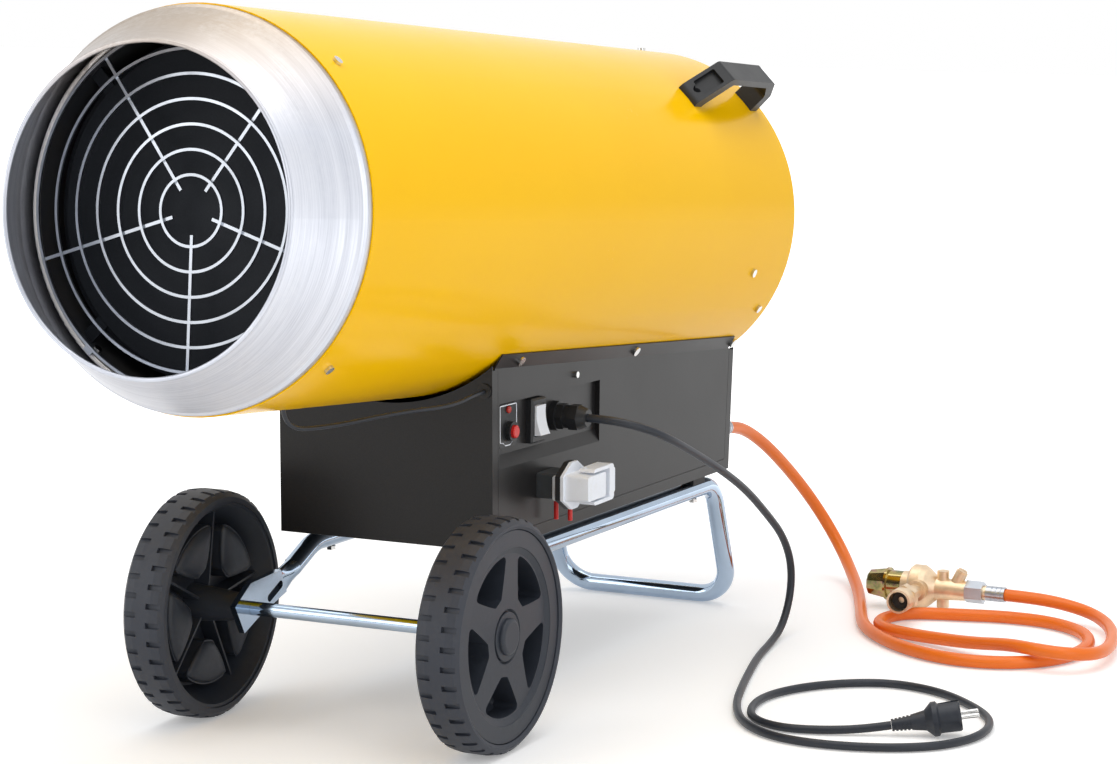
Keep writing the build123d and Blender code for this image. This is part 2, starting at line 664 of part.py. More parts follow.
def make_base_box():
    """Front, bottom and rear of the box under the drum, with folded edges for the side covers."""
    low_run, low_h = rear_corner()
    in_run, in_h = rear_corner(SHEET)
    high_run, high_h = rear_top(0, 60)
    in_high_run, in_high_h = rear_top(SHEET, 60)
    front_top = AXIS_H - 100
    front_in = BOX_FRONT + SHEET
    with BuildPart() as box:
        shell = side_view(
            (Y0 + BOX_FRONT, floor_of_box(BOX_FRONT)), (Y0 + low_run, low_h), (Y0 + high_run, high_h),
            (Y0 + in_high_run, in_high_h), (Y0 + in_run, in_h + SHEET), (Y0 + front_in, floor_of_box(front_in) + SHEET),
            (Y0 + front_in, front_top), (Y0 + BOX_FRONT, front_top),
        )
        extrude(shell, amount=BOX_HALF, both=True)
        fillet(
            [edge for edge in box.edges().filter_by(Axis.X) if abs(edge.center().Z - BOX_FLOOR_H) < 0.2
             and abs(edge.center().Y - Y0 - BOX_FRONT) < 0.2],
            1.2,
        )
        lip_run, lip_h = rear_top(RETURN)
        low_lip_run, low_lip_h = rear_corner(RETURN)
        inner_front = BOX_FRONT + RETURN
        frame_face = side_view(
            (Y0 + BOX_FRONT + 0.6, floor_of_box(BOX_FRONT) + 0.6), (Y0 + low_run - 0.6, low_h + 0.6),
            (Y0 + rear_top()[0] - 0.6, rear_top()[1] - 2), (Y0 + lip_run, lip_h - 1),
            (Y0 + low_lip_run, low_lip_h + RETURN), (Y0 + inner_front, floor_of_box(inner_front) + RETURN),
            (Y0 + inner_front, fold_at(inner_front) - 2), (Y0 + BOX_FRONT + 0.6, fold_at(BOX_FRONT) - 2),
        )
        for side in (1, -1):
            extrude(frame_face.moved(Location((side * BOX_HALF, 0, 0))), amount=-side * SHEET)
        extrude(disc(drum_plane(100), DRUM_R + ARC_GAP), amount=-DRUM_LEN, mode=Mode.SUBTRACT)
        grommet = Plane(origin=GROMMET_AT + Vector(0, 10, 0), x_dir=(1, 0, 0), z_dir=(0, -1, 0))
        extrude(disc(grommet, GROMMET_R), amount=20, mode=Mode.SUBTRACT)
        extrude(disc(inlet_plane(-10), INLET_HOLE_R + GAP), amount=20, mode=Mode.SUBTRACT)
        for spot in RAIL_BOLTS:
            extrude(disc(spot, BOLT_R + GAP), amount=60, mode=Mode.SUBTRACT)
    return box


def inlet_plane(out=0.0):
    """On the rear panel where the gas comes in, local Z rearwards."""
    ring = drum_plane(BOX_BACK + out, -1)
    return Plane(origin=ring.origin + Vector(INLET_X, 0, 0) - ring.y_dir * INLET_DROP, x_dir=(-1, 0, 0),
                 z_dir=ring.z_dir)


def cover_outline():
    """Side cover inside the folded edges of the box."""
    edge = RETURN + MOVE_GAP
    front, back = BOX_FRONT + edge, rear_corner(edge)[0]
    return side_view(
        (Y0 + front, floor_of_box(front) + edge), (Y0 + back, floor_of_box(back) + edge),
        (Y0 + rear_top(edge)[0], rear_top(edge)[1]), (Y0 + front, fold_at(front)),
    )


def make_cover(side):
    """Side cover, folded along its top to lie against the drum."""
    ring = drum_plane(BOX_FRONT / COS + RETURN + 8)
    top_w = -FOLD_DROP + FLANGE_RISE
    top_x = sqrt((DRUM_R + GAP + SHEET) ** 2 - top_w ** 2)
    with BuildPart() as cover:
        extrude(cover_outline().moved(Location((BOX_HALF, 0, 0))), amount=-SHEET)
        flange = outline(
            ring, (BOX_HALF - SHEET, -FOLD_DROP - 2), (BOX_HALF, -FOLD_DROP - 2), (BOX_HALF, -FOLD_DROP),
            (top_x, top_w), (top_x - SHEET * 0.75, top_w + SHEET * 0.6), (BOX_HALF - SHEET, -FOLD_DROP + 0.8),
        )
        extrude(flange, amount=-(BOX_BACK - RETURN - BOX_FRONT / COS - RETURN - 12))
        for back in BOLT_BACKS:
            extrude(disc(flange_plane(1, back).offset(-5), BOLT_R + GAP), amount=12, mode=Mode.SUBTRACT)
        if side > 0:
            cut_recess(cover)
        extrude(disc(panel_plane(*COVER_SCREW).offset(-5), BOLT_R + GAP), amount=10, mode=Mode.SUBTRACT)
    return cover if side > 0 else mirrored(cover)


COVER_SCREW = (572.0, 355.5)
RECESS = panel_plane(RECESS_RUN, RECESS_TOP, BOX_HALF, RECESS_SLOPE)
CONTROLS = RECESS.offset(-RECESS_DEPTH)


def on_controls(run, height):
    """Plane on the recess's back wall, local X rearwards, local Z outwards."""
    return Plane(origin=(BOX_HALF - RECESS_DEPTH, Y0 + run, height), x_dir=CONTROLS.x_dir, z_dir=(1, 0, 0))


def recess_profile(depth, spread):
    """Section of the pocket: flat back wall, then a slope that runs out to the cover."""
    start = RECESS.origin - RECESS.x_dir * spread
    section = Plane(origin=start, x_dir=(1, 0, 0), z_dir=-RECESS.x_dir)
    up = 1 if section.y_dir.Z > 0 else -1
    foot = RECESS_FLOOR + RECESS_FADE + spread
    return outline(
        section, (0.01, up * spread), (-depth, up * spread), (-depth, -up * (RECESS_FLOOR + spread * 0.6)),
        (0.01, -up * foot),
    )


def cut_recess(cover):
    """Press the control pocket into the cover."""
    extrude(recess_profile(RECESS_DEPTH + SHEET, SHEET), amount=-(RECESS_LEN + 2 * SHEET))
    extrude(recess_profile(RECESS_DEPTH, 0), amount=-RECESS_LEN, mode=Mode.SUBTRACT)
    extrude(plate(SWITCH_SPOT.offset(-5), ROCKER_SIZE[0] + 4, ROCKER_SIZE[1] + 6), amount=10, mode=Mode.SUBTRACT)
    extrude(disc(BUTTON_SPOT.offset(-5), BUTTON_R + MOVE_GAP), amount=10, mode=Mode.SUBTRACT)
    extrude(disc(LAMP_SPOT.offset(-5), 3.2), amount=10, mode=Mode.SUBTRACT)
    extrude(disc(GLAND_SPOT.offset(-5), 10.2), amount=10, mode=Mode.SUBTRACT)
    extrude(plate(CONN_SPOT.offset(-5), CONN_HOUSE[0] - 8, CONN_HOUSE[1] - 8), amount=10, mode=Mode.SUBTRACT)


SWITCH_SPOT = on_controls(SWITCH_RUN, SWITCH_H)
BUTTON_SPOT = on_controls(PLATE_RUN + 2, 314.0)
LAMP_SPOT = on_controls(PLATE_RUN - 1, 338.0)
GLAND_SPOT = on_controls(GLAND_RUN, GLAND_H)
CONN_SPOT = panel_plane(CONN_RUN, CONN_H)


# ---- Controls --------------------------------------------------------------------------------------


def make_reset_plate():
    middle = on_controls(PLATE_RUN, 321.0).offset(GAP)
    with BuildPart() as backing:
        extrude(plate(middle, *PLATE_SIZE, 5), amount=PLATE_T)
        extrude(disc(BUTTON_SPOT, BUTTON_R + MOVE_GAP), amount=10, both=True, mode=Mode.SUBTRACT)
        extrude(disc(LAMP_SPOT, 3.2), amount=10, both=True, mode=Mode.SUBTRACT)
        collar = BUTTON_SPOT.offset(GAP + PLATE_T)
        extrude(disc(collar, BUTTON_R + MOVE_GAP + 3.4, BUTTON_R + MOVE_GAP), amount=6)
    return backing


def make_reset_button():
    with BuildPart() as button:
        extrude(disc(BUTTON_SPOT.offset(-4), BUTTON_R), amount=4 + GAP + PLATE_T + 6 + BUTTON_TRAVEL + 0.5)
        fillet(button.faces().sort_by(Axis.X)[-1].edges(), 1.5)
        extrude(disc(BUTTON_SPOT.offset(-16), 3), amount=12)
    return button


def make_fault_lamp():
    with BuildPart() as lamp:
        extrude(disc(LAMP_SPOT.offset(-8), 3.0), amount=8 + GAP + 2)
        extrude(disc(LAMP_SPOT.offset(2 * GAP + PLATE_T), 4.0), amount=3)
        fillet(lamp.faces().sort_by(Axis.X)[-1].edges(), 2)
    return lamp


ROCKER_AT = SWITCH_SPOT.offset(SWITCH_OUT - 3)
ROCKER_PIN = Plane(origin=ROCKER_AT.origin, x_dir=ROCKER_AT.z_dir, z_dir=ROCKER_AT.x_dir)
PIN_R = 1.4


def make_switch_frame():
    inner = (ROCKER_SIZE[0] + 2 * MOVE_GAP, ROCKER_SIZE[1] + 2 * MOVE_GAP + 0.6)
    with BuildPart() as frame:
        extrude(plate(SWITCH_SPOT.offset(GAP), *SWITCH_SIZE, 2), amount=SWITCH_OUT)
        chamfer(frame.faces().sort_by(Axis.X)[-1].edges(), 2)
        extrude(plate(SWITCH_SPOT.offset(-14), ROCKER_SIZE[0] + 3.5, ROCKER_SIZE[1] + 5), amount=14 + GAP)
        extrude(plate(SWITCH_SPOT.offset(-11), *inner), amount=40, mode=Mode.SUBTRACT)
        extrude(disc(ROCKER_PIN, PIN_R + RUN_FIT), amount=inner[0] / 2 + 3.2, both=True, mode=Mode.SUBTRACT)
    return frame


def make_rocker():
    """Two-way rocker that turns about a pin across its frame."""
    half = ROCKER_SIZE[1] / 2
    side = Plane(origin=ROCKER_AT.origin - ROCKER_AT.x_dir * ROCKER_SIZE[0] / 2, x_dir=(1, 0, 0),
                 z_dir=ROCKER_AT.x_dir)
    with BuildPart() as rocker:
        with BuildSketch(side) as body:
            with BuildLine():
                Line((-4, -half), (5.5, -half + 0.4))
                ThreePointArc((5.5, -half + 0.4), (5.8, 0), (11, half - 1.6))
                Line((11, half - 1.6), (-4, half))
                Line((-4, half), (-4, -half))
            make_face()
        extrude(body.sketch, amount=ROCKER_SIZE[0])
        extrude(disc(ROCKER_PIN.offset(ROCKER_SIZE[0] / 2 - 1), PIN_R), amount=MOVE_GAP + 3.5)
        extrude(disc(ROCKER_PIN.offset(1 - ROCKER_SIZE[0] / 2), PIN_R), amount=-MOVE_GAP - 3.5)
    return rocker


def make_cable_gland():
    base = GLAND_SPOT.offset(GAP)
    with BuildPart() as gland:
        extrude(disc(base, GLAND_R), amount=7)
        with BuildSketch(base.offset(7)) as hexagon:
            RegularPolygon(GLAND_R - 1, 6)
        extrude(hexagon.sketch, amount=8)
        extrude(disc(base.offset(15), GLAND_R - 3.5), amount=6)
        extrude(disc(base.offset(-16), 10), amount=16)
        extrude(disc(base.offset(-20), CORD_R + 0.2), amount=80, mode=Mode.SUBTRACT)
    return gland


def make_gland_nut():
    base = GLAND_SPOT.offset(GAP + 21.2)
    with BuildPart() as nut:
        with BuildSketch(base) as hexagon:
            RegularPolygon(GLAND_R - 1, 6)
        extrude(hexagon.sketch, amount=11)
        extrude(disc(base.offset(11), GLAND_R - 3), amount=GLAND_LEN - 21.2 - 11 - GAP, taper=22)
        extrude(disc(base.offset(-5), CORD_R + 0.2), amount=60, mode=Mode.SUBTRACT)
    return nut


# ---- Thermostat connector --------------------------------------------------------------------------


def make_conn_socket():
    base = CONN_SPOT.offset(GAP)
    with BuildPart() as socket:
        extrude(plate(base, CONN_HOUSE[0], CONN_HOUSE[1], 3), amount=CONN_HOUSE[2])
        extrude(plate(base.offset(3), CONN_HOUSE[0] - 6, CONN_HOUSE[1] - 6), amount=40, mode=Mode.SUBTRACT)
        with BuildSketch(base.offset(3)) as pins:
            with GridLocations(12, 9, 2, 2):
                Circle(1.5)
        extrude(pins.sketch, amount=16)
        extrude(plate(base.offset(-12), CONN_HOUSE[0] - 9, CONN_HOUSE[1] - 9), amount=12 + 3)
    return socket


def eared_face(plane):
    """Plate with pointed ears above and below."""
    wide, high = CONN_FLANGE
    return outline(plane, (-wide / 2, -high / 4), (-wide / 8, -high / 2), (wide / 8, -high / 2), (wide / 2, -high / 4),
                   (wide / 2, high / 4), (wide / 8, high / 2), (-wide / 8, high / 2), (-wide / 2, high / 4))


def make_conn_gasket():
    start = CONN_SPOT.offset(2 * GAP + CONN_HOUSE[2])
    with BuildPart() as gasket:
        extrude(eared_face(start), amount=CONN_GASKET)
        extrude(plate(start.offset(-1), CONN_HOUSE[0] - 12, CONN_HOUSE[1] - 8), amount=CONN_GASKET + 2,
                mode=Mode.SUBTRACT)
    return gasket


def hood_base():
    return CONN_SPOT.offset(3 * GAP + CONN_HOUSE[2] + CONN_GASKET)


def make_conn_hood():
    base = hood_base()
    with BuildPart() as hood:
        extrude(eared_face(base), amount=3.5)
        with BuildSketch(base.offset(3.5)) as foot:
            RectangleRounded(HOOD_SIZE[0], HOOD_SIZE[1] + 3, 3)
        with BuildSketch(base.offset(3.5 + HOOD_SIZE[2])) as end:
            RectangleRounded(HOOD_SIZE[0] - 5, HOOD_SIZE[1], 3)
        loft(sections=[foot.sketch, end.sketch])
        for sign in (1, -1):
            peg = Plane(origin=base.offset(PEG_OUT).origin, x_dir=(0, 1, 0), z_dir=(0, 0, sign))
            extrude(disc(peg, PEG_R), amount=HOOD_SIZE[1] / 2 + 5)
    return hood


def make_conn_lever():
    """U-shaped latch that swings on the hood's pegs and reaches round its rear."""
    base = hood_base().offset(PEG_OUT - LEVER_T / 3)
    inner_h = HOOD_SIZE[1] + 4 + 2 * MOVE_GAP
    front = -7.0
    bridge = 11.0
    with BuildPart() as lever:
        with BuildSketch(base) as loop:
            with Locations(((front + LEVER_REAR) / 2, 0)):
                RectangleRounded(LEVER_REAR - front, inner_h + 2 * LEVER_ARM, 5)
            with Locations(((front - 10 + LEVER_REAR - bridge) / 2, 0)):
                Rectangle(LEVER_REAR - bridge - front + 10, inner_h, mode=Mode.SUBTRACT)
        extrude(loop.sketch, amount=LEVER_T)
        with BuildSketch(base.offset(3)) as grip:
            with Locations((LEVER_REAR + 3, 0)):
                RectangleRounded(12, inner_h - 4, 3)
        extrude(grip.sketch, amount=LEVER_T - 6)
        for sign in (1, -1):
            peg = Plane(origin=hood_base().offset(PEG_OUT).origin, x_dir=(0, 1, 0), z_dir=(0, 0, sign))
            extrude(disc(peg, PEG_R + RUN_FIT), amount=40, mode=Mode.SUBTRACT)
    return lever


def make_test_caps():
    """Two red caps on the pressure test points under the connector."""
    with BuildPart() as caps:
        for out, above in ((12, CONN_HOUSE[1] / 2), (29, CONN_FLANGE[1] / 2)):
            spot = Plane(origin=(BOX_HALF + out, Y0 + CONN_RUN + 3, CONN_H - above - GAP), z_dir=(0, 0, -1))
            extrude(disc(spot, 2.6), amount=CONN_FLANGE[1] / 2 - above + 14)
    return caps


# ---- Cart ------------------------------------------------------------------------------------------


def rail_height(run):
    return floor_of_box(run) - RAIL_DROP


RAIL_BOLTS = [
    Plane(origin=(side * RAIL_X, Y0 + run, rail_height(run) - TUBE_R), z_dir=(0, 0, 1))
    for run in (455, 930) for side in (1, -1)
]
FALL = tan(radians(RAIL_FALL))


def rail_end(run):
    """Height of the rail's front end as it falls to the axle."""
    return rail_height(RAIL_BEND) - (RAIL_BEND - run) * FALL


def make_chassis():
    """One bent tube: two rails, two rear legs and the foot bar, with flattened front ends."""
    flat_run = AXLE_RUN + 88
    corners = [(RAIL_X, flat_run, rail_end(flat_run)), (RAIL_X, RAIL_BEND, rail_height(RAIL_BEND)),
               (RAIL_X, REAR_BEND, rail_height(REAR_BEND)), (RAIL_X, FOOT_RUN, TUBE_R)]
    route = [Vector(x, Y0 + run, z) for x, run, z in corners]
    route += [Vector(-x, Y0 + run, z) for x, run, z in reversed(corners)]
    radii = [60, BEND_R, BEND_R, BEND_R, BEND_R, 60]
    start = route[0]
    fall_dir = Vector(0, -1, -FALL).normalized()
    with BuildPart() as chassis:
        with BuildLine() as path:
            FilletPolyline(*route, radius=radii)
        with BuildSketch(Plane(origin=start, z_dir=-fall_dir)) as ring:
            Circle(TUBE_R)
            Circle(TUBE_R - TUBE_WALL, mode=Mode.SUBTRACT)
        sweep(ring.sketch, path=path.wire())
        for side in (1, -1):
            top = Vector(side * RAIL_X, start.Y, start.Z)
            end = Vector(side * RAIL_X, Y0 + AXLE_RUN, WHEEL_R)
            across = Vector(1, 0, 0)
            pinch = Plane(origin=top + fall_dir * 26, x_dir=across, z_dir=fall_dir)
            with BuildSketch(Plane(origin=top, x_dir=across, z_dir=fall_dir)) as round_end:
                Circle(TUBE_R)
            with BuildSketch(pinch) as flat_start:
                RectangleRounded(FLAT_T, FLAT_H, 3.2)
            loft(sections=[round_end.sketch, flat_start.sketch])
            blade = Plane(origin=(side * RAIL_X + FLAT_T / 2, 0, 0), x_dir=(0, 1, 0), z_dir=(1, 0, 0))
            up = Vector(0, fall_dir.Z, -fall_dir.Y) * (FLAT_H / 2)
            a, b = pinch.origin + up, pinch.origin - up
            c, d = end + Vector(0, -4, 28), end + Vector(0, -36, 8)
            e, f = end + Vector(0, -18, -24), end + Vector(0, 12, -12)
            tip = outline(blade, *[(p.Y, p.Z) for p in (a, c, d, e, f, b)])
            extrude(tip, amount=-FLAT_T)
            slot_at = pinch.origin + fall_dir * 20
            slot = Plane(origin=(side * RAIL_X + 20, slot_at.Y, slot_at.Z), x_dir=fall_dir, z_dir=(1, 0, 0))
            with BuildSketch(slot) as hole:
                SlotOverall(34, 9)
            extrude(hole.sketch, amount=-40, mode=Mode.SUBTRACT)
            bore = Plane(origin=(side * RAIL_X + 20, end.Y, end.Z), z_dir=(1, 0, 0))
            extrude(disc(bore, AXLE_R + GAP), amount=-40, mode=Mode.SUBTRACT)
        for spot in RAIL_BOLTS:
            extrude(disc(spot.offset(-5), BOLT_R + GAP), amount=60, mode=Mode.SUBTRACT)
    return chassis


def make_rail_pads():
    """Rubber blocks between the rails and the box."""
    with BuildPart() as pads:
        for spot in RAIL_BOLTS:
            seat = spot.offset(TUBE_R + 1)
            extrude(plate(seat, 16, 34), amount=RAIL_DROP - 1 - 1.0)
        for side in (1, -1):
            for run in (455, 930):
                center = Vector(side * RAIL_X, Y0 + run - 60, rail_height(run - 60))
                along = Vector(0, 1, -RAKE).normalized()
                extrude(disc(Plane(origin=center, z_dir=along), TUBE_R + GAP), amount=120, mode=Mode.SUBTRACT)
        for spot in RAIL_BOLTS:
            extrude(disc(spot, BOLT_R + GAP), amount=60, mode=Mode.SUBTRACT)
    return pads


def make_rail_bolts():
    with BuildPart() as bolts:
        for spot in RAIL_BOLTS:
            with BuildSketch(spot.offset(-GAP)) as head:
                RegularPolygon(5.5, 6)
            extrude(head.sketch, amount=-4)
            extrude(disc(spot.offset(-GAP), BOLT_R), amount=TUBE_R + RAIL_DROP + 10)
            with BuildSketch(spot.offset(TUBE_R + RAIL_DROP + 4.2)) as nut:
                RegularPolygon(5.5, 6)
            extrude(nut.sketch, amount=4)
    return bolts


WHEEL_SPOT = Plane(origin=(0, Y0 + AXLE_RUN, WHEEL_R), x_dir=(0, 1, 0), z_dir=(1, 0, 0))
WHEEL_AXIS = Axis((0, Y0 + AXLE_RUN, WHEEL_R), (1, 0, 0))
WHEEL_PROFILE = Plane(origin=(0, Y0 + AXLE_RUN, WHEEL_R), x_dir=(1, 0, 0), z_dir=(0, -1, 0))


CAP_FACE = WHEEL_FACE - 9 + MOVE_GAP
CAP_BORE = 5.0
CAP_R = 26.0
CAP_RIM_T = 3.0
CAP_DOME_R = 19.5
CAP_RISE = 8.3


def make_axle():
    with BuildPart() as axle:
        extrude(disc(WHEEL_SPOT, AXLE_R), amount=CAP_FACE + CAP_BORE - GAP, both=True)
        chamfer(axle.edges().filter_by(GeomType.CIRCLE), 1)
    return axle


def make_axle_washers():
    with BuildPart() as washers:
        for side in (1, -1):
            inner = RAIL_X + FLAT_T / 2 + GAP
            spot = WHEEL_SPOT.offset(side * (inner + HUB_INNER - MOVE_GAP) / 2)
            extrude(disc(spot, HUB_R, AXLE_R + GAP), amount=(HUB_INNER - MOVE_GAP - inner) / 2, both=True)
    return washers


def wheel_turned(*points):
    """Wheel section: distance from the heater's middle, radius."""
    return outline(WHEEL_PROFILE, *points)


def make_tyre():
    inner = WHEEL_FACE - WHEEL_W
    with BuildPart() as tyre:
        revolve(
            wheel_turned(
                (inner, TYRE_R), (inner, WHEEL_R - 7), (inner + 5, WHEEL_R - 1.5), (inner + 14, WHEEL_R),
                (WHEEL_FACE - 14, WHEEL_R), (WHEEL_FACE - 5, WHEEL_R - 1.5), (WHEEL_FACE, WHEEL_R - 7),
                (WHEEL_FACE, TYRE_R + 3), (WHEEL_FACE - 2, TYRE_R),
            ),
            WHEEL_AXIS,
        )
        for row, shift in ((inner - 1, 0), (WHEEL_FACE - NOTCH_LEN, 0.5)):
            with BuildSketch(WHEEL_SPOT.offset(row)) as notches:
                with PolarLocations(WHEEL_R, NOTCHES, start_angle=shift * 360 / NOTCHES):
                    Rectangle(7, 6)
            extrude(notches.sketch, amount=NOTCH_LEN + 1, mode=Mode.SUBTRACT)
    return tyre


def window_face(spread):
    """One opening between two spokes, `spread` degrees to each side of local X."""
    side = radians(spread)
    low = (WINDOW_R * cos(side), -WINDOW_R * sin(side))
    high = (WINDOW_R * cos(side), WINDOW_R * sin(side))
    with BuildSketch() as window:
        with BuildLine():
            ThreePointArc(low, (WINDOW_R, 0), high)
            ThreePointArc(high, (55, 20), (WINDOW_IN, 7))
            Line((WINDOW_IN, 7), (WINDOW_IN, -7))
            ThreePointArc((WINDOW_IN, -7), (55, -20), low)
        make_face()
        fillet(window.vertices(), 5)
    return window.sketch


def make_rim():
    """Moulded rim with five spokes, and a wall round each window on its inner side."""
    inner = WHEEL_FACE - WHEEL_W
    face = WHEEL_FACE - 3
    seat = TYRE_R - GAP
    web = face - 5
    half = 180 / WHEEL_SPOKES
    window = window_face(half - 9)
    frame = offset(window, amount=WINDOW_WALL)
    with BuildPart() as rim:
        revolve(
            wheel_turned(
                (inner + 2, seat), (inner + 2, seat - 4), (web - 4, WINDOW_R + 6), (web - 4, HUB_R + 6),
                (HUB_INNER, HUB_R), (HUB_INNER, AXLE_R + RUN_FIT), (face - 6, AXLE_R + RUN_FIT), (face - 6, CAP_R + 1),
                (web + 2, CAP_R + 3), (web + 1, WINDOW_R + 2), (face - 1, WINDOW_R + 8), (face, WINDOW_R + 8.5),
                (face, seat - 1), (face - 1, seat),
            ),
            WHEEL_AXIS,
        )
        with BuildSketch(WHEEL_SPOT.offset(web - 1)) as walls:
            with PolarLocations(0, WHEEL_SPOKES, start_angle=WHEEL_SPOKE_AT + half):
                add(frame)
        extrude(walls.sketch, amount=-WINDOW_WALL_H)
        with BuildSketch(WHEEL_SPOT.offset(WHEEL_FACE)) as windows:
            with PolarLocations(0, WHEEL_SPOKES, start_angle=WHEEL_SPOKE_AT + half):
                add(window)
        extrude(windows.sketch, amount=-WHEEL_W, mode=Mode.SUBTRACT)
        with BuildSketch(WHEEL_SPOT.offset(web - 3)) as ribs:
            for spoke in range(WHEEL_SPOKES):
                with Locations(Rotation(0, 0, WHEEL_SPOKE_AT + 2 * half * spoke)):
                    with Locations(((HUB_R + seat) / 2 - 2, 0)):
                        Rectangle(seat - HUB_R - 4, WINDOW_WALL)
        extrude(ribs.sketch, amount=-WINDOW_WALL_H + 6)
    return rim


def make_hub_cap():
    """Domed cap pushed onto the axle's end."""
    seat = WHEEL_SPOT.offset(CAP_FACE)
    with BuildPart() as cap:
        extrude(disc(seat, CAP_R), amount=CAP_RIM_T)
        fillet(cap.edges().group_by(Axis.X)[-1], 1)
        extrude(disc(seat, CAP_DOME_R), amount=CAP_RISE)
        fillet(cap.edges().group_by(Axis.X)[-1], CAP_RISE - CAP_RIM_T - 0.8)
        extrude(disc(seat, AXLE_R + GAP), amount=CAP_BORE, mode=Mode.SUBTRACT)
    return cap


# ---- Inside the box --------------------------------------------------------------------------------


def box_block(x, run, high, size, corner=2.0):
    """Rounded block standing on the box's floor."""
    base = Plane(origin=(x, Y0 + run, high), z_dir=(0, 0, 1))
    return plate(base, size[0], size[1], corner), size[2]


def make_solenoid_valve():
    x, run = 0, PIPE_PORT.Y - Y0
    low = floor_of_box(run - 30) + SHEET + 2
    with BuildPart() as valve:
        face, high = box_block(x, run, low, (46, 60, 46), 4)
        extrude(face, amount=high)
        for shift in (-14, 14):
            extrude(disc(Plane(origin=(x + 23, Y0 + run + shift, low + 22), z_dir=(1, 0, 0)), 12), amount=26)
        extrude(disc(Plane(origin=(x, PIPE_PORT.Y, low + high)), PIPE_R + 4), amount=10)
        extrude(disc(Plane(origin=(x, PIPE_PORT.Y, low + high + 1)), PIPE_R + GAP), amount=20, mode=Mode.SUBTRACT)
        extrude(disc(Plane(origin=(x, Y0 + run + 25, low + 20), z_dir=(0, 1, 0)), 8), amount=20)
    return valve


def make_feed_pipe():
    """Pipe from the gas inlet to the valve."""
    valve_end = Vector(0, PIPE_PORT.Y + 45 + GAP, floor_of_box(PIPE_RUN - 30) + SHEET + 22)
    inlet = inlet_plane(-SHEET - 14)
    end = inlet.origin
    route = (valve_end, valve_end + Vector(0, 60, 0), Vector(INLET_X - 30, end.Y - 160, end.Z + 6),
             end - inlet.z_dir * 70, end)
    with BuildPart() as pipe:
        with BuildLine() as path:
            FilletPolyline(*route, radius=18)
        with BuildSketch(Plane(origin=valve_end, z_dir=(0, 1, 0))) as ring:
            Circle(PIPE_R)
        sweep(ring.sketch, path=path.wire())
    return pipe


def make_control_unit():
    run = 640
    with BuildPart() as unit:
        face, high = box_block(-70, run, floor_of_box(run - 50) + SHEET + 2, (70, 96, 52), 4)
        extrude(face, amount=high)
        fillet(unit.faces().sort_by(Axis.Z)[-1].edges(), 3)
        for slot in range(6):
            vent = Plane(origin=(-70, Y0 + run - 30 + 12 * slot, floor_of_box(run) + SHEET + 2 + high))
            extrude(plate(vent, 44, 3), amount=-3, mode=Mode.SUBTRACT)
    return unit


def make_grommet():
    plane = Plane(origin=GROMMET_AT - Vector(0, GAP + 2, 0), x_dir=(1, 0, 0), z_dir=(0, 1, 0))
    with BuildPart() as grommet:
        extrude(disc(plane, GROMMET_R + 2.5, LEAD_R + GAP), amount=2)
        extrude(disc(plane, GROMMET_R - GAP, LEAD_R + GAP), amount=6)
        extrude(disc(plane.offset(2 + 2 * GAP + SHEET), GROMMET_R + 1.2, LEAD_R + GAP), amount=2)
    return grommet


def make_ignition_lead():
    """Lead from the box's grommet along under the drum to its entry hole."""
    route = [GROMMET_AT + Vector(0, 20, 0), GROMMET_AT + Vector(0, -18, 0), GROMMET_AT + Vector(-6, -60, -8),
             GROMMET_AT + Vector(-30, -130, -6), LEAD_ENTRY + Vector(14, 60, -26), LEAD_ENTRY + Vector(0, 0, -20),
             LEAD_ENTRY + Vector(0, 0, 6)]
    with BuildPart() as lead:
        with BuildLine() as path:
            FilletPolyline(*route, radius=[14, 20, 24, 24, 10])
        with BuildSketch(Plane(origin=route[0], z_dir=(0, -1, 0))) as ring:
            Circle(LEAD_R)
        sweep(ring.sketch, path=path.wire())
    return lead


# ---- Hose, regulator, cord and plug ----------------------------------------------------------------

HOSE_START = inlet_plane(12 + GAP)
HOSE_POINTS = [
    (112, 582, 223.8), (114, 622, 213), (121, 668, 188), (131, 717, 151), (144, 757, 111), (163, 777, 71),
    (188, 768, 38), (216, 731, 18), (248, 672, 9), (284, 587, HOSE_R + 0.3), (314, 512, HOSE_R + 0.3),
    (345, 464, HOSE_R + 0.3), (390, 419, HOSE_R + 0.3), (441, 387, HOSE_R + 0.3), (490, 375, HOSE_R + 0.3),
    (537, 384, HOSE_R + 0.3), (576, 412, HOSE_R + 0.3), (599, 462, HOSE_R + 0.3), (599, 522, HOSE_R + 0.3),
    (573, 578, HOSE_R + 0.3), (523, 613, HOSE_R + 0.3), (462, 618, HOSE_R + 0.3), (406, 603, HOSE_R + 0.3),
    (355, 590, HOSE_R + 0.3), (327, 562, HOSE_R + 0.3), (323, 522, HOSE_R + 0.3), (346, 489, HOSE_R + 0.3),
    (385, 475, 8.6), (432, 458, 10.5), (483, 436, 15), (534, 413, 23.4), (571, 394, 25.5), (612, 392, 24),
    (643, 418, 20), (650, 459, 16), (641, 510, 13.5), (625, 559, 13), (599, 608, 14), (562, 642, 18),
    (517, 650, 25), (474, 640, 30),
]
CORD_START = GLAND_SPOT.offset(GLAND_LEN - 6)
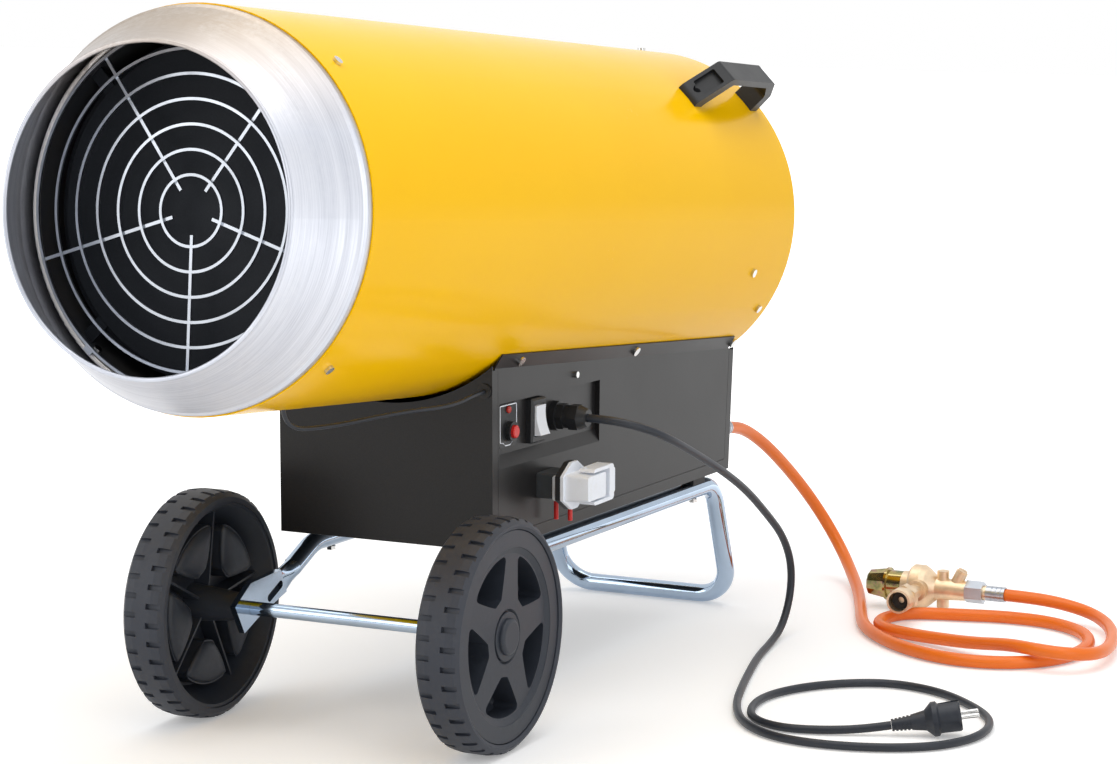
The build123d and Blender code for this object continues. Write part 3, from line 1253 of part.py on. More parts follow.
CORD_POINTS = [
    (184, 52.25, 315), (210, 61.7, 310.5), (230.8, 81, 301.2), (243, 110.5, 287), (246, 177, 259), (248, 239, 232),
    (249, 304, 200), (248, 368, 161), (248, 420, 125), (247, 450, 85), (246, 449, 45), (247, 420, 13),
    (254, 368, 5.2), (263, 318, 4.9), (277, 262, 4.9),
    (306, 162, 4.9), (333, 80, 4.9), (367, 16, 4.9), (412, -24, 4.9), (460, -37, 4.9), (517, -31, 4.9),
    (569, -9, 4.9), (603, 24, 4.9), (620, 77, 4.9), (609, 136, 4.9), (572, 186, 4.9), (516, 234, 4.9),
    (454, 250, 4.9), (404, 226, 4.9), (367, 184, 4.9), (347, 131, 4.9), (352, 77, 4.9), (374, 30, 4.9),
    (415, 8, 4.9), (460, 18, 4.9), (501.4, 37.2, 6.6),
]
PLUG_START = Vector(527, 48, 11.2)
PLUG_DIR = Vector(0.90, 0.38, 0.16).normalized()
REG = Vector(345, 640, 30)
STUB_END = 84.0
UNION_DIR = Vector(0.08, -1, 0.03).normalized()


def bend_radii(points):
    """Bends as large as their two runs allow."""
    radii = []
    for before, corner, after in zip(points, points[1:], points[2:]):
        into, out = corner - before, after - corner
        radii.append(0.45 * min(into.length, out.length) / tan(radians(into.get_angle(out)) / 2))
    return radii


def make_cord(name, points, radius):
    """Round cord along straight runs joined by tangent arcs."""
    radii = bend_radii(points)
    print(name, "bend radii", [round(r) for r in radii], "least", round(min(radii), 1))
    with BuildPart() as cord:
        with BuildLine() as path:
            FilletPolyline(*points, radius=radii)
        with BuildSketch(Plane(origin=points[0], z_dir=points[1] - points[0])) as ring:
            Circle(radius)
        route = path.wire()
        sweep(ring.sketch, path=route)
    expected = pi * radius ** 2 * route.length
    print(name, "length", round(route.length), "volume ratio", round(cord.part.volume / expected, 5))
    return cord


def make_gas_inlet():
    """Brass union through the rear panel."""
    with BuildPart() as inlet:
        extrude(disc(inlet_plane(-SHEET - 14 + GAP), INLET_HOLE_R - GAP), amount=SHEET + 14)
        with BuildSketch(inlet_plane(GAP)) as hexagon:
            RegularPolygon(15, 6)
        extrude(hexagon.sketch, amount=9)
        extrude(disc(inlet_plane(9), 8.5), amount=3)
    return inlet


def make_hose_fittings():
    """Crimped sleeves on both ends of the hose, and the nut that joins it to the regulator."""
    nut = Plane(origin=REG + Vector(58 + GAP, 0, 0), z_dir=(1, 0, 0))
    with BuildPart() as fittings:
        with BuildSketch(nut) as hexagon:
            RegularPolygon(14, 6)
            Circle(9 + GAP, mode=Mode.SUBTRACT)
        extrude(hexagon.sketch, amount=22)
        extrude(disc(HOSE_START, HOSE_R + 1.6, HOSE_R + GAP), amount=22)
        end = Plane(origin=REG + Vector(STUB_END + GAP, 0, 0), z_dir=(1, 0, 0))
        extrude(disc(end, HOSE_R + 1.8, HOSE_R + GAP), amount=24)
        for start, length in ((HOSE_START, 22), (end, 24)):
            for groove in (0.3, 0.55, 0.8):
                ring = start.offset(length * groove)
                extrude(disc(ring, HOSE_R + 3, HOSE_R + 1.1), amount=1.6, mode=Mode.SUBTRACT)
    return fittings


def reg_turned(*points):
    """Section of a piece on the regulator's axis: distance along it, radius."""
    return outline(Plane(origin=REG, x_dir=(1, 0, 0), z_dir=(0, -1, 0)), *points)


REG_AXIS = Axis(REG, (1, 0, 0))
UNION_PLANE = Plane(origin=REG, x_dir=(0, 0, 1), z_dir=UNION_DIR)
STEM_R = 9.0
STEM_LEN = 94.0
STEM_FLANGE = 4.0
SEAL_T = 4.0
THREAD_R = STEM_R + 3.0
THREAD_LEN = 11.5
THREAD_RELIEF = 0.9
SEAL_ROOM = 1.5
NUT_WALL = 2.5
NUT_START = 72.0
NUT_HEX_LEN = 16.0
NUT_LEN = STEM_LEN + SEAL_T + SEAL_ROOM + THREAD_LEN - NUT_START
BOSS_R = 7.5


def make_reg_body():
    with BuildPart() as body:
        revolve(
            reg_turned((-24, 0), (-24, 18), (-13, 18), (-13, 25), (-10, 27.5), (2, 27.5), (8, 24), (20, 14),
                       (58, 12), (58, 9), (STUB_END, 9), (STUB_END, 0)),
            REG_AXIS,
        )
        extrude(disc(Plane(origin=REG + Vector(27, 0, -23)), BOSS_R), amount=46)
        relief = Plane(origin=REG + Vector(40, 0, 0), z_dir=(0.5, 0, 1))
        extrude(disc(relief, BOSS_R), amount=26)
        extrude(disc(relief.offset(26), BOSS_R - 1.5), amount=2.5)
        extrude(plate(relief.offset(27.5), 16, 1.6), amount=4, mode=Mode.SUBTRACT)
        extrude(disc(UNION_PLANE, STEM_R + 4), amount=34)
        extrude(disc(UNION_PLANE, STEM_R), amount=STEM_LEN)
        extrude(disc(UNION_PLANE.offset(STEM_LEN - STEM_FLANGE), THREAD_R - 0.5), amount=STEM_FLANGE)
        end = Plane(origin=REG + Vector(STUB_END + 1, 0, 0), z_dir=(-1, 0, 0))
        extrude(disc(end, 4), amount=90, mode=Mode.SUBTRACT)
    return body


def make_reg_cap():
    start = Plane(origin=REG + Vector(-70, 0, 0), z_dir=(1, 0, 0))
    with BuildPart() as cap:
        with BuildSketch(start) as facets:
            RegularPolygon(15.5, 10)
        extrude(facets.sketch, amount=24, taper=-9)
        chamfer(cap.faces().sort_by(Axis.X)[0].edges(), 2)
        extrude(disc(start.offset(24), 17.5), amount=21.8)
        with BuildSketch(start.offset(24)) as ring:
            Circle(20.5)
            Circle(16, mode=Mode.SUBTRACT)
        extrude(ring.sketch, amount=3)
    return cap


def make_union_nut():
    start = UNION_PLANE.offset(NUT_START)
    with BuildPart() as nut:
        with BuildSketch(start) as hexagon:
            RegularPolygon((THREAD_R + NUT_WALL) / cos(pi / 6), 6)
        extrude(hexagon.sketch, amount=NUT_HEX_LEN)
        extrude(disc(start.offset(NUT_HEX_LEN), THREAD_R + NUT_WALL), amount=NUT_LEN - NUT_HEX_LEN)
        extrude(disc(start.offset(-1), STEM_R + RUN_FIT), amount=NUT_LEN + 2, mode=Mode.SUBTRACT)
        relief = start.offset(STEM_LEN - STEM_FLANGE - NUT_START - MOVE_GAP)
        extrude(disc(relief, THREAD_R), amount=NUT_LEN, mode=Mode.SUBTRACT)
        extrude(disc(relief, THREAD_R + THREAD_RELIEF), amount=NUT_START + NUT_LEN - THREAD_LEN - STEM_LEN + STEM_FLANGE
                + MOVE_GAP, mode=Mode.SUBTRACT)
    return nut


def make_union_seal():
    start = UNION_PLANE.offset(STEM_LEN + GAP)
    with BuildPart() as seal:
        extrude(disc(start, THREAD_R - 1, 4), amount=SEAL_T)
    return seal


PLUG_PLANE = Plane(origin=PLUG_START, x_dir=Vector(0, 0, 1).cross(PLUG_DIR), z_dir=PLUG_DIR)
PLUG_PROFILE = Plane(origin=PLUG_START, x_dir=PLUG_DIR, z_dir=PLUG_PLANE.x_dir)
PIN_PITCH = 19.0


def make_plug():
    """Two-pole plug: ribbed boot, flared grip and round face with an earth notch each side."""
    axis = Axis(PLUG_START, PLUG_DIR)
    points = [(0, 0), (0, 6.6)]
    for rib in range(5):
        points += [(2.4 + 4.2 * rib, 6.8 + 0.35 * rib), (2.4 + 4.2 * rib, 5.8 + 0.35 * rib),
                   (4.2 + 4.2 * rib, 5.8 + 0.35 * rib), (4.2 + 4.2 * rib, 6.9 + 0.35 * rib)]
    points += [(25, 9), (36, 11), (44, 18.6), (49, 18.6), (51, 16), (72, 16.6), (74, 15.4), (74, 0)]
    with BuildPart() as plug:
        revolve(outline(PLUG_PROFILE, *points), axis)
        for side in (1, -1):
            with BuildSketch(PLUG_PLANE.offset(52)) as notch:
                with Locations((0, side * 18)):
                    Rectangle(7, 6)
            extrude(notch.sketch, amount=30, mode=Mode.SUBTRACT)
        with BuildSketch(PLUG_PLANE.offset(60)) as wells:
            with Locations((PIN_PITCH / 2, 0), (-PIN_PITCH / 2, 0)):
                Circle(2.4 + GAP)
        extrude(wells.sketch, amount=20, mode=Mode.SUBTRACT)
    return plug


def make_plug_pins():
    with BuildPart() as pins:
        with BuildSketch(PLUG_PLANE.offset(60 + GAP)) as round_pins:
            with Locations((PIN_PITCH / 2, 0), (-PIN_PITCH / 2, 0)):
                Circle(2.4)
        extrude(round_pins.sketch, amount=14 + 19)
        fillet(pins.faces().group_by(Axis(PLUG_START, PLUG_DIR))[-1].edges(), 1.2)
    return pins


# ---- All pieces ------------------------------------------------------------------------------------


def save(name, piece):
    piece.part.label = name
    export_step(piece.part, f"parts/{name}.step")


hose_end = REG + Vector(STUB_END + GAP, 0, 0)
hose_points = [HOSE_START.origin] + [Vector(*p) for p in HOSE_POINTS] + [hose_end]
cord_points = [CORD_START.origin] + [Vector(*p) for p in CORD_POINTS] + [PLUG_START - PLUG_DIR * GAP]
rim = make_rim()
tyre = make_tyre()
hub_cap = make_hub_cap()

PIECES = {
    "drum_casing": make_drum(),
    "outlet_cone": make_nozzle(),
    "outlet_grille": make_outlet_grille(),
    "combustion_chamber": make_chamber(),
    "chamber_stands": make_chamber_stands(),
    "flame_disc": make_flame_disc(),
    "burner_cup": make_burner_cup(),
    "gas_jet": make_gas_jet(),
    "gas_pipe": make_gas_pipe(),
    "ignition_electrode": make_rod(60, 88, 1.2),
    "flame_probe": make_rod(-60, 80, 1.6),
    "fan": make_fan(),
    "motor_shaft": make_motor_shaft(),
    "fan_motor": make_motor(),
    "motor_bracket": make_motor_bracket(),
    "rear_grille": make_rear_grille(),
    "handle_right": make_handle(1),
    "handle_left": make_handle(-1),
    "casing_screws": make_casing_screws(),
    "base_box": make_base_box(),
    "side_cover_right": make_cover(1),
    "side_cover_left": make_cover(-1),
    "reset_plate": make_reset_plate(),
    "reset_button": make_reset_button(),
    "fault_lamp": make_fault_lamp(),
    "switch_frame": make_switch_frame(),
    "switch_rocker": make_rocker(),
    "cable_gland": make_cable_gland(),
    "gland_nut": make_gland_nut(),
    "connector_socket": make_conn_socket(),
    "connector_gasket": make_conn_gasket(),
    "connector_hood": make_conn_hood(),
    "connector_lever": make_conn_lever(),
    "test_point_caps": make_test_caps(),
    "solenoid_valve": make_solenoid_valve(),
    "feed_pipe": make_feed_pipe(),
    "control_unit": make_control_unit(),
    "lead_grommet": make_grommet(),
    "ignition_lead": make_ignition_lead(),
    "chassis_tube": make_chassis(),
    "rail_pads": make_rail_pads(),
    "rail_bolts": make_rail_bolts(),
    "axle": make_axle(),
    "axle_washers": make_axle_washers(),
    "wheel_right": rim,
    "wheel_left": mirrored(rim),
    "tyre_right": tyre,
    "tyre_left": mirrored(tyre),
    "hub_cap_right": hub_cap,
    "hub_cap_left": mirrored(hub_cap),
    "gas_inlet": make_gas_inlet(),
    "hose_fittings": make_hose_fittings(),
    "gas_hose": make_cord("gas_hose", hose_points, HOSE_R),
    "regulator_body": make_reg_body(),
    "regulator_cap": make_reg_cap(),
    "union_nut": make_union_nut(),
    "union_seal": make_union_seal(),
    "mains_cord": make_cord("mains_cord", cord_points, CORD_R),
    "mains_plug": make_plug(),
    "plug_pins": make_plug_pins(),
}

os.makedirs("parts", exist_ok=True)
for node, piece in PIECES.items():
    save(node, piece)
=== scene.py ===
"""Gas forced-air heater on a tube cart: finishes, cords, trim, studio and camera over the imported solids."""
import json
import math

import bmesh
import bpy
from mathutils import Matrix, Vector


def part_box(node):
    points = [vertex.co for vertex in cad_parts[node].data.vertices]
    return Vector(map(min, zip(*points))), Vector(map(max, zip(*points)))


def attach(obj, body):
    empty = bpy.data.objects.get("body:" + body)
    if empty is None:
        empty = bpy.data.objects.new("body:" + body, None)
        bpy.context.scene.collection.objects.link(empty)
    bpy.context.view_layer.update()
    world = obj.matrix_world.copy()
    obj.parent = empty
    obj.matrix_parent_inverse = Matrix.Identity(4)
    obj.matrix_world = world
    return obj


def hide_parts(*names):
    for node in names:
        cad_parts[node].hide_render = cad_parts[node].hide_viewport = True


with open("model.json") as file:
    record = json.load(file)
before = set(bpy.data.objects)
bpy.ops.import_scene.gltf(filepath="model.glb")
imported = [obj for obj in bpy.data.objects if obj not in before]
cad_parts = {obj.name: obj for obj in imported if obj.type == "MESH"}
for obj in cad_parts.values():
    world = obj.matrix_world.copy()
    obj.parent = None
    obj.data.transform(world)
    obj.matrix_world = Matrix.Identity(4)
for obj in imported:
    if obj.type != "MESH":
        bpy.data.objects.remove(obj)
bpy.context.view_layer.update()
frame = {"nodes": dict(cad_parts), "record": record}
nodes = frame["nodes"]

MM = 0.001   # the sizes of pieces and the routes of cords are in millimetres


# ---- Nodes that the groups and finishes are made of --------------------------------------------------


def set_or_link(tree, value, socket):
    """A plain number is written on the socket, and another node's output is wired to it."""
    if isinstance(value, (int, float)):
        socket.default_value = value
    else:
        tree.links.new(value, socket)


def add_math(tree, operation, first, second):
    node = tree.nodes.new("ShaderNodeMath")
    node.operation = operation
    set_or_link(tree, first, node.inputs[0])
    set_or_link(tree, second, node.inputs[1])
    return node.outputs[0]


def add_noise(tree, vector, scale, detail, roughness):
    node = tree.nodes.new("ShaderNodeTexNoise")
    node.inputs["Detail"].default_value = detail
    node.inputs["Roughness"].default_value = roughness
    tree.links.new(vector, node.inputs["Vector"])
    set_or_link(tree, scale, node.inputs["Scale"])
    return node.outputs[0]


def add_ramp(tree, value, low, high, at_low=0.0, at_high=1.0):
    """Straight run from one value to another between low and high, held level outside them."""
    node = tree.nodes.new("ShaderNodeMapRange")
    node.inputs["From Min"].default_value = low
    node.inputs["From Max"].default_value = high
    node.inputs["To Min"].default_value = at_low
    node.inputs["To Max"].default_value = at_high
    tree.links.new(value, node.inputs["Value"])
    return node.outputs[0]


# ---- Shader groups shared by several finishes --------------------------------------------------------


def shader_group(name, inputs, outputs):
    """Empty node group with its sockets; returns the group, its input node and its output node."""
    group = bpy.data.node_groups.new(name, "ShaderNodeTree")
    for label, kind, value in inputs:
        socket = group.interface.new_socket(name=label, in_out="INPUT", socket_type=kind)
        if value is not None:
            socket.default_value = value
    for label, kind in outputs:
        group.interface.new_socket(name=label, in_out="OUTPUT", socket_type=kind)
    return group, group.nodes.new("NodeGroupInput"), group.nodes.new("NodeGroupOutput")


def make_grain_group():
    """Fine moulded or sprayed texture: a height for the bump and a matching speckle."""
    group, source, result = shader_group(
        "Fine grain",
        [("Place", "NodeSocketVector", None), ("Size", "NodeSocketFloat", 900.0)],
        [("Height", "NodeSocketFloat"), ("Speckle", "NodeSocketFloat")],
    )
    fine = add_noise(group, source.outputs["Place"], source.outputs["Size"], detail=3.0, roughness=0.6)
    group.links.new(fine, result.inputs["Height"])
    group.links.new(add_ramp(group, fine, low=0.35, high=0.65), result.inputs["Speckle"])
    return group


def make_wear_group():
    """Uneven handling marks: broad cloudy patches, and a mask of them broken up by fine scuffs."""
    group, source, result = shader_group(
        "Handling marks",
        [("Place", "NodeSocketVector", None), ("Patch size", "NodeSocketFloat", 9.0)],
        [("Mask", "NodeSocketFloat"), ("Cloud", "NodeSocketFloat")],
    )
    place = source.outputs["Place"]
    broad = add_noise(group, place, source.outputs["Patch size"], detail=4.0, roughness=0.6)
    scuffs = add_noise(group, place, scale=160.0, detail=5.0, roughness=0.7)
    patches = add_ramp(group, broad, low=0.42, high=0.72)
    marks = add_ramp(group, scuffs, low=0.40, high=0.75)
    group.links.new(add_math(group, "MULTIPLY", patches, marks), result.inputs["Mask"])
    group.links.new(broad, result.inputs["Cloud"])
    return group


def make_streak_group():
    """Long fine lines left by rolling or brushing, drawn out along each axis whose Stretch is small."""
    group, source, result = shader_group(
        "Rolling streaks",
        [("Place", "NodeSocketVector", None), ("Stretch", "NodeSocketVector", (1.0, 1.0, 1.0)),
         ("Fineness", "NodeSocketFloat", 300.0)],
        [("Height", "NodeSocketFloat"), ("Tone", "NodeSocketFloat")],
    )
    squeezed = group.nodes.new("ShaderNodeVectorMath")
    squeezed.operation = "MULTIPLY"
    group.links.new(source.outputs["Place"], squeezed.inputs[0])
    group.links.new(source.outputs["Stretch"], squeezed.inputs[1])
    place = squeezed.outputs[0]
    lines = add_noise(group, place, source.outputs["Fineness"], detail=4.0, roughness=0.65)
    broad = add_noise(group, place, scale=24.0, detail=3.0, roughness=0.5)
    half_lines = add_math(group, "MULTIPLY", lines, 0.5)
    half_broad = add_math(group, "MULTIPLY", broad, 0.5)
    mixed = add_math(group, "ADD", half_lines, half_broad)
    group.links.new(lines, result.inputs["Height"])
    group.links.new(add_ramp(group, mixed, low=0.35, high=0.65), result.inputs["Tone"])
    return group


GRAIN = make_grain_group()
WEAR = make_wear_group()
STREAKS = make_streak_group()


# ---- Finishes ----------------------------------------------------------------------------------------


DRUM_TILT = math.radians(5.15)
DRUM_PLACE = (0.0, 0.52911, -0.53715)   # puts the drum's front edge at Y 0 and its axis at Z 0


class Finish:
    """A material in the making: its tree, its surface shader and the place on the object."""

    def __init__(self, name, color, roughness, metallic=0.0, along_drum=False, **plain):
        self.material = bpy.data.materials.new(name)
        self.material.use_nodes = True
        self.material.diffuse_color = (*color, 1.0)
        self.tree = self.material.node_tree
        self.tree.nodes.clear()
        self.surface = self.tree.nodes.new("ShaderNodeBsdfPrincipled")
        output = self.tree.nodes.new("ShaderNodeOutputMaterial")
        self.tree.links.new(self.surface.outputs[0], output.inputs["Surface"])
        self.place = self.tree.nodes.new("ShaderNodeTexCoord").outputs["Object"]
        if along_drum:
            self.place = self.level_with_drum(self.place)
        self.color = color
        self.surface.inputs["Base Color"].default_value = (*color, 1.0)
        self.surface.inputs["Roughness"].default_value = roughness
        self.surface.inputs["Metallic"].default_value = metallic
        for label, value in plain.items():
            self.surface.inputs[label.replace("_", " ")].default_value = value

    def level_with_drum(self, place):
        """Place counted from the drum's front edge, with the drum laid level."""
        level = self.tree.nodes.new("ShaderNodeMapping")
        level.inputs["Rotation"].default_value = (DRUM_TILT, 0.0, 0.0)
        level.inputs["Location"].default_value = DRUM_PLACE
        self.tree.links.new(place, level.inputs["Vector"])
        return level.outputs["Vector"]

    def along(self, axis):
        """One coordinate of the place, in metres; on the drum, Y runs back from its front edge."""
        split = self.tree.nodes.new("ShaderNodeSeparateXYZ")
        self.tree.links.new(self.place, split.inputs[0])
        return split.outputs[axis]

    def group(self, group, **values):
        """Place a shared group in this material with its own values, and return its outputs."""
        node = self.tree.nodes.new("ShaderNodeGroup")
        node.node_tree = group
        self.tree.links.new(self.place, node.inputs["Place"])
        for label, value in values.items():
            node.inputs[label.replace("_", " ")].default_value = value
        return node.outputs

    def carry_on(self, label, socket):
        """Wire what the surface has on an input so far to a node that comes in between."""
        if self.surface.inputs[label].is_linked:
            self.tree.links.new(self.surface.inputs[label].links[0].from_socket, socket)

    def tint(self, mask, other, most=1.0, start=0.0, full=1.0):
        """Base colour goes over to another, by `most` at most, as the mask goes from start to full."""
        mix = self.tree.nodes.new("ShaderNodeMix")
        mix.data_type = "RGBA"
        mix.inputs["A"].default_value = (*self.color, 1.0)
        mix.inputs["B"].default_value = (*other, 1.0)
        self.carry_on("Base Color", mix.inputs["A"])
        self.tree.links.new(add_ramp(self.tree, mask, start, full, 0.0, most), mix.inputs["Factor"])
        self.tree.links.new(mix.outputs["Result"], self.surface.inputs["Base Color"])

    def roughen(self, mask, smooth, rough):
        shine = add_ramp(self.tree, mask, 0.0, 1.0, smooth, rough)
        self.tree.links.new(shine, self.surface.inputs["Roughness"])

    def bump(self, height, depth_mm, strength):
        node = self.tree.nodes.new("ShaderNodeBump")
        node.inputs["Strength"].default_value = strength
        node.inputs["Distance"].default_value = depth_mm * MM
        self.carry_on("Normal", node.inputs["Normal"])
        self.tree.links.new(height, node.inputs["Height"])
        self.tree.links.new(node.outputs[0], self.surface.inputs["Normal"])


def shaded(color, share, lift=0.0):
    """The same colour at a share of its strength, with a little grey added."""
    return tuple(min(1.0, share * part + lift) for part in color)


def yellow_paint():
    """Gloss powder coat: slight orange peel, a few faint scuffs."""
    paint = Finish("yellow_paint", (1.0, 0.56, 0.0), 0.20, Specular_IOR_Level=0.06, Coat_Weight=0.01,
                   Coat_Roughness=0.05)
    peel = paint.group(GRAIN, Size=260.0)
    marks = paint.group(WEAR, Patch_size=5.0)
    paint.tint(marks["Cloud"], (0.95, 0.49, 0.0), most=0.2, start=0.4, full=0.7)
    paint.tint(marks["Mask"], (1.0, 0.58, 0.02), most=0.2, start=0.3)
    paint.roughen(marks["Mask"], 0.18, 0.34)
    paint.bump(peel["Height"], 0.05, 0.25)
    return paint.material


def bare_aluminium():
    """Spun aluminised sheet: fine brush lines round the cone, browner and darker towards the top."""
    sheet = Finish("bare_aluminium", (0.70, 0.72, 0.78), 0.34, 0.85, along_drum=True)
    lines = sheet.group(STREAKS, Stretch=(0.05, 3.2, 0.05), Fineness=260.0)
    marks = sheet.group(WEAR, Patch_size=12.0)
    sheet.tint(lines["Tone"], (0.44, 0.46, 0.52), most=0.9)
    # Browner and darker towards the top of the cone.
    sheet.tint(sheet.along("Z"), (0.40, 0.33, 0.26), most=0.95, start=0.08, full=0.18)
    sheet.tint(marks["Mask"], (0.76, 0.77, 0.79), most=0.4)
    sheet.roughen(lines["Tone"], 0.32, 0.50)
    sheet.bump(lines["Height"], 0.06, 0.4)
    return sheet.material


def chamber_steel():
    """Steel darkened by the flame, lighter along its rolled front edge."""
    steel = Finish("chamber_steel", (0.10, 0.108, 0.125), 0.42, 0.7, along_drum=True)
    marks = steel.group(WEAR, Patch_size=18.0)
    lines = steel.group(STREAKS, Stretch=(0.05, 3.0, 0.05), Fineness=220.0)
    steel.tint(marks["Cloud"], (0.17, 0.15, 0.13), most=0.6, start=0.35, full=0.7)
    # Lighter along the rolled front edge.
    steel.tint(steel.along("Y"), (0.80, 0.76, 0.72), start=0.0115, full=0.0095)
    steel.roughen(lines["Tone"], 0.30, 0.46)
    steel.bump(lines["Height"], 0.04, 0.3)
    return steel.material


def bright_metal(name, color, smooth, rough, patch=30.0):
    """Plated or turned metal: bright, a little cloudy."""
    metal = Finish(name, color, smooth, 1.0)
    marks = metal.group(WEAR, Patch_size=patch)
    grain = metal.group(GRAIN, Size=1400.0)
    metal.tint(marks["Cloud"], shaded(color, 0.72), most=0.6, start=0.35, full=0.7)
    metal.roughen(marks["Mask"], smooth, rough)
    metal.bump(grain["Height"], 0.02, 0.2)
    return metal.material


def powder_coat(name, color, smooth, rough, grain_mm):
    """Satin black powder coat with a fine texture."""
    coat = Finish(name, color, smooth, Specular_IOR_Level=0.20)
    grain = coat.group(GRAIN, Size=700.0)
    marks = coat.group(WEAR, Patch_size=8.0)
    coat.tint(grain["Speckle"], shaded(color, 1.6, 0.004), most=0.3)
    coat.roughen(marks["Cloud"], smooth, rough)
    coat.bump(grain["Height"], grain_mm, 0.5)
    return coat.material


def moulded_plastic(name, color, smooth, rough, grain_size=900.0, grain_mm=0.05, scuff=None):
    """Moulded plastic or rubber with a fine grain, paler where it is handled."""
    plastic = Finish(name, color, smooth, Specular_IOR_Level=0.36)
    grain = plastic.group(GRAIN, Size=grain_size)
    marks = plastic.group(WEAR, Patch_size=22.0)
    plastic.tint(marks["Mask"], scuff or shaded(color, 1.5, 0.01), most=0.7)
    plastic.roughen(marks["Cloud"], smooth, rough)
    plastic.bump(grain["Height"], grain_mm, 0.4)
    return plastic.material


def cast_brass():
    """Sand-cast brass, left as it came."""
    color, smooth, rough = (0.92, 0.72, 0.50), 0.34, 0.52
    cast = Finish("cast_brass", color, smooth, 1.0)
    skin = cast.group(GRAIN, Size=420.0)
    marks = cast.group(WEAR, Patch_size=60.0)
    cast.tint(marks["Cloud"], shaded(color, 0.62), most=0.8, start=0.3, full=0.75)
    cast.roughen(skin["Speckle"], smooth, rough)
    cast.bump(skin["Height"], 0.25, 0.5)
    return cast.material


def yellow_chromate():
    """Yellow passivated zinc: dull gold with olive and rosy patches that run into each other."""
    plating = Finish("yellow_chromate", (0.42, 0.34, 0.14), 0.18, 1.0)
    broad = plating.group(WEAR, Patch_size=38.0)
    fine = plating.group(WEAR, Patch_size=95.0)
    plating.tint(broad["Cloud"], (0.17, 0.18, 0.08), start=0.47, full=0.60)
    plating.tint(fine["Cloud"], (0.40, 0.19, 0.17), most=0.8, start=0.52, full=0.64)
    plating.roughen(broad["Mask"], 0.14, 0.34)
    return plating.material


def rubber_hose():
    """Smooth orange rubber with a soft sheen and a few dusty rubs."""
    rubber = Finish("hose_orange", (0.87, 0.185, 0.016), 0.30, Specular_IOR_Level=0.35)
    grain = rubber.group(GRAIN, Size=800.0)
    marks = rubber.group(WEAR, Patch_size=16.0)
    rubber.tint(marks["Cloud"], (0.80, 0.14, 0.012), most=0.35, start=0.4, full=0.7)
    rubber.tint(marks["Mask"], (0.90, 0.32, 0.10), most=0.4, start=0.2)
    rubber.roughen(marks["Cloud"], 0.26, 0.40)
    rubber.bump(grain["Height"], 0.04, 0.3)
    return rubber.material


# The numbers are the colour and the roughness where smooth and where rough, and then, where a finish needs
# others than its kind has, the patches' or the grain's size, the grain's depth and the scuffs' colour.
FINISHES = {
    "yellow_paint": yellow_paint(),
    "bare_aluminium": bare_aluminium(),
    "zinc_wire": bright_metal("zinc_wire", (0.52, 0.55, 0.60), 0.28, 0.42),
    "zinc_tube": bright_metal("zinc_tube", (0.44, 0.54, 0.67), 0.08, 0.20, 12.0),
    "black_powder_coat": powder_coat("black_powder_coat", (0.0135, 0.013, 0.0135), 0.26, 0.38, 0.04),
    "heatproof_black": powder_coat("heatproof_black", (0.010, 0.012, 0.016), 0.55, 0.7, 0.06),
    "chamber_steel": chamber_steel(),
    "dark_steel": bright_metal("dark_steel", (0.25, 0.25, 0.26), 0.4, 0.6),
    "screw_steel": bright_metal("screw_steel", (0.70, 0.70, 0.69), 0.2, 0.4, 80.0),
    "moulded_black": moulded_plastic("moulded_black", (0.014, 0.015, 0.017), 0.34, 0.5, 1100.0, 0.08),
    "wheel_plastic": moulded_plastic("wheel_plastic", (0.024, 0.029, 0.040), 0.38, 0.54, 700.0, 0.06),
    "tyre_rubber": moulded_plastic("tyre_rubber", (0.032, 0.037, 0.050), 0.46, 0.62, 500.0, 0.12,
                                   (0.062, 0.064, 0.072)),
    "black_rubber": moulded_plastic("black_rubber", (0.014, 0.014, 0.015), 0.5, 0.65),
    "cord_black": moulded_plastic("cord_black", (0.020, 0.024, 0.033), 0.34, 0.5, 1200.0, 0.04),
    "hose_orange": rubber_hose(),
    "grey_plastic": moulded_plastic("grey_plastic", (0.045, 0.05, 0.055), 0.4, 0.55),
    "white_plastic": moulded_plastic("white_plastic", (0.86, 0.90, 0.97), 0.3, 0.42, 1200.0, 0.03,
                                     (0.76, 0.78, 0.80)),
    "red_plastic": moulded_plastic("red_plastic", (0.62, 0.02, 0.018), 0.26, 0.4),
    "clear_lamp": moulded_plastic("clear_lamp", (0.42, 0.03, 0.02), 0.12, 0.2),
    "cast_brass": cast_brass(),
    "turned_brass": bright_metal("turned_brass", (0.78, 0.56, 0.24), 0.2, 0.35, 60.0),
    "yellow_chromate": yellow_chromate(),
    "ceramic": moulded_plastic("ceramic", (0.78, 0.76, 0.70), 0.15, 0.3),
}

slot_of = {part["node"]: part["material_slot"] for part in frame["record"]["subparts"]}
for name, solid in nodes.items():
    solid.data.materials.clear()
    solid.data.materials.append(FINISHES[slot_of[name]])


# ---- Cords -------------------------------------------------------------------------------------------

HOSE_R, CORD_R, LEAD_R = 7.6, 4.6, 2.2

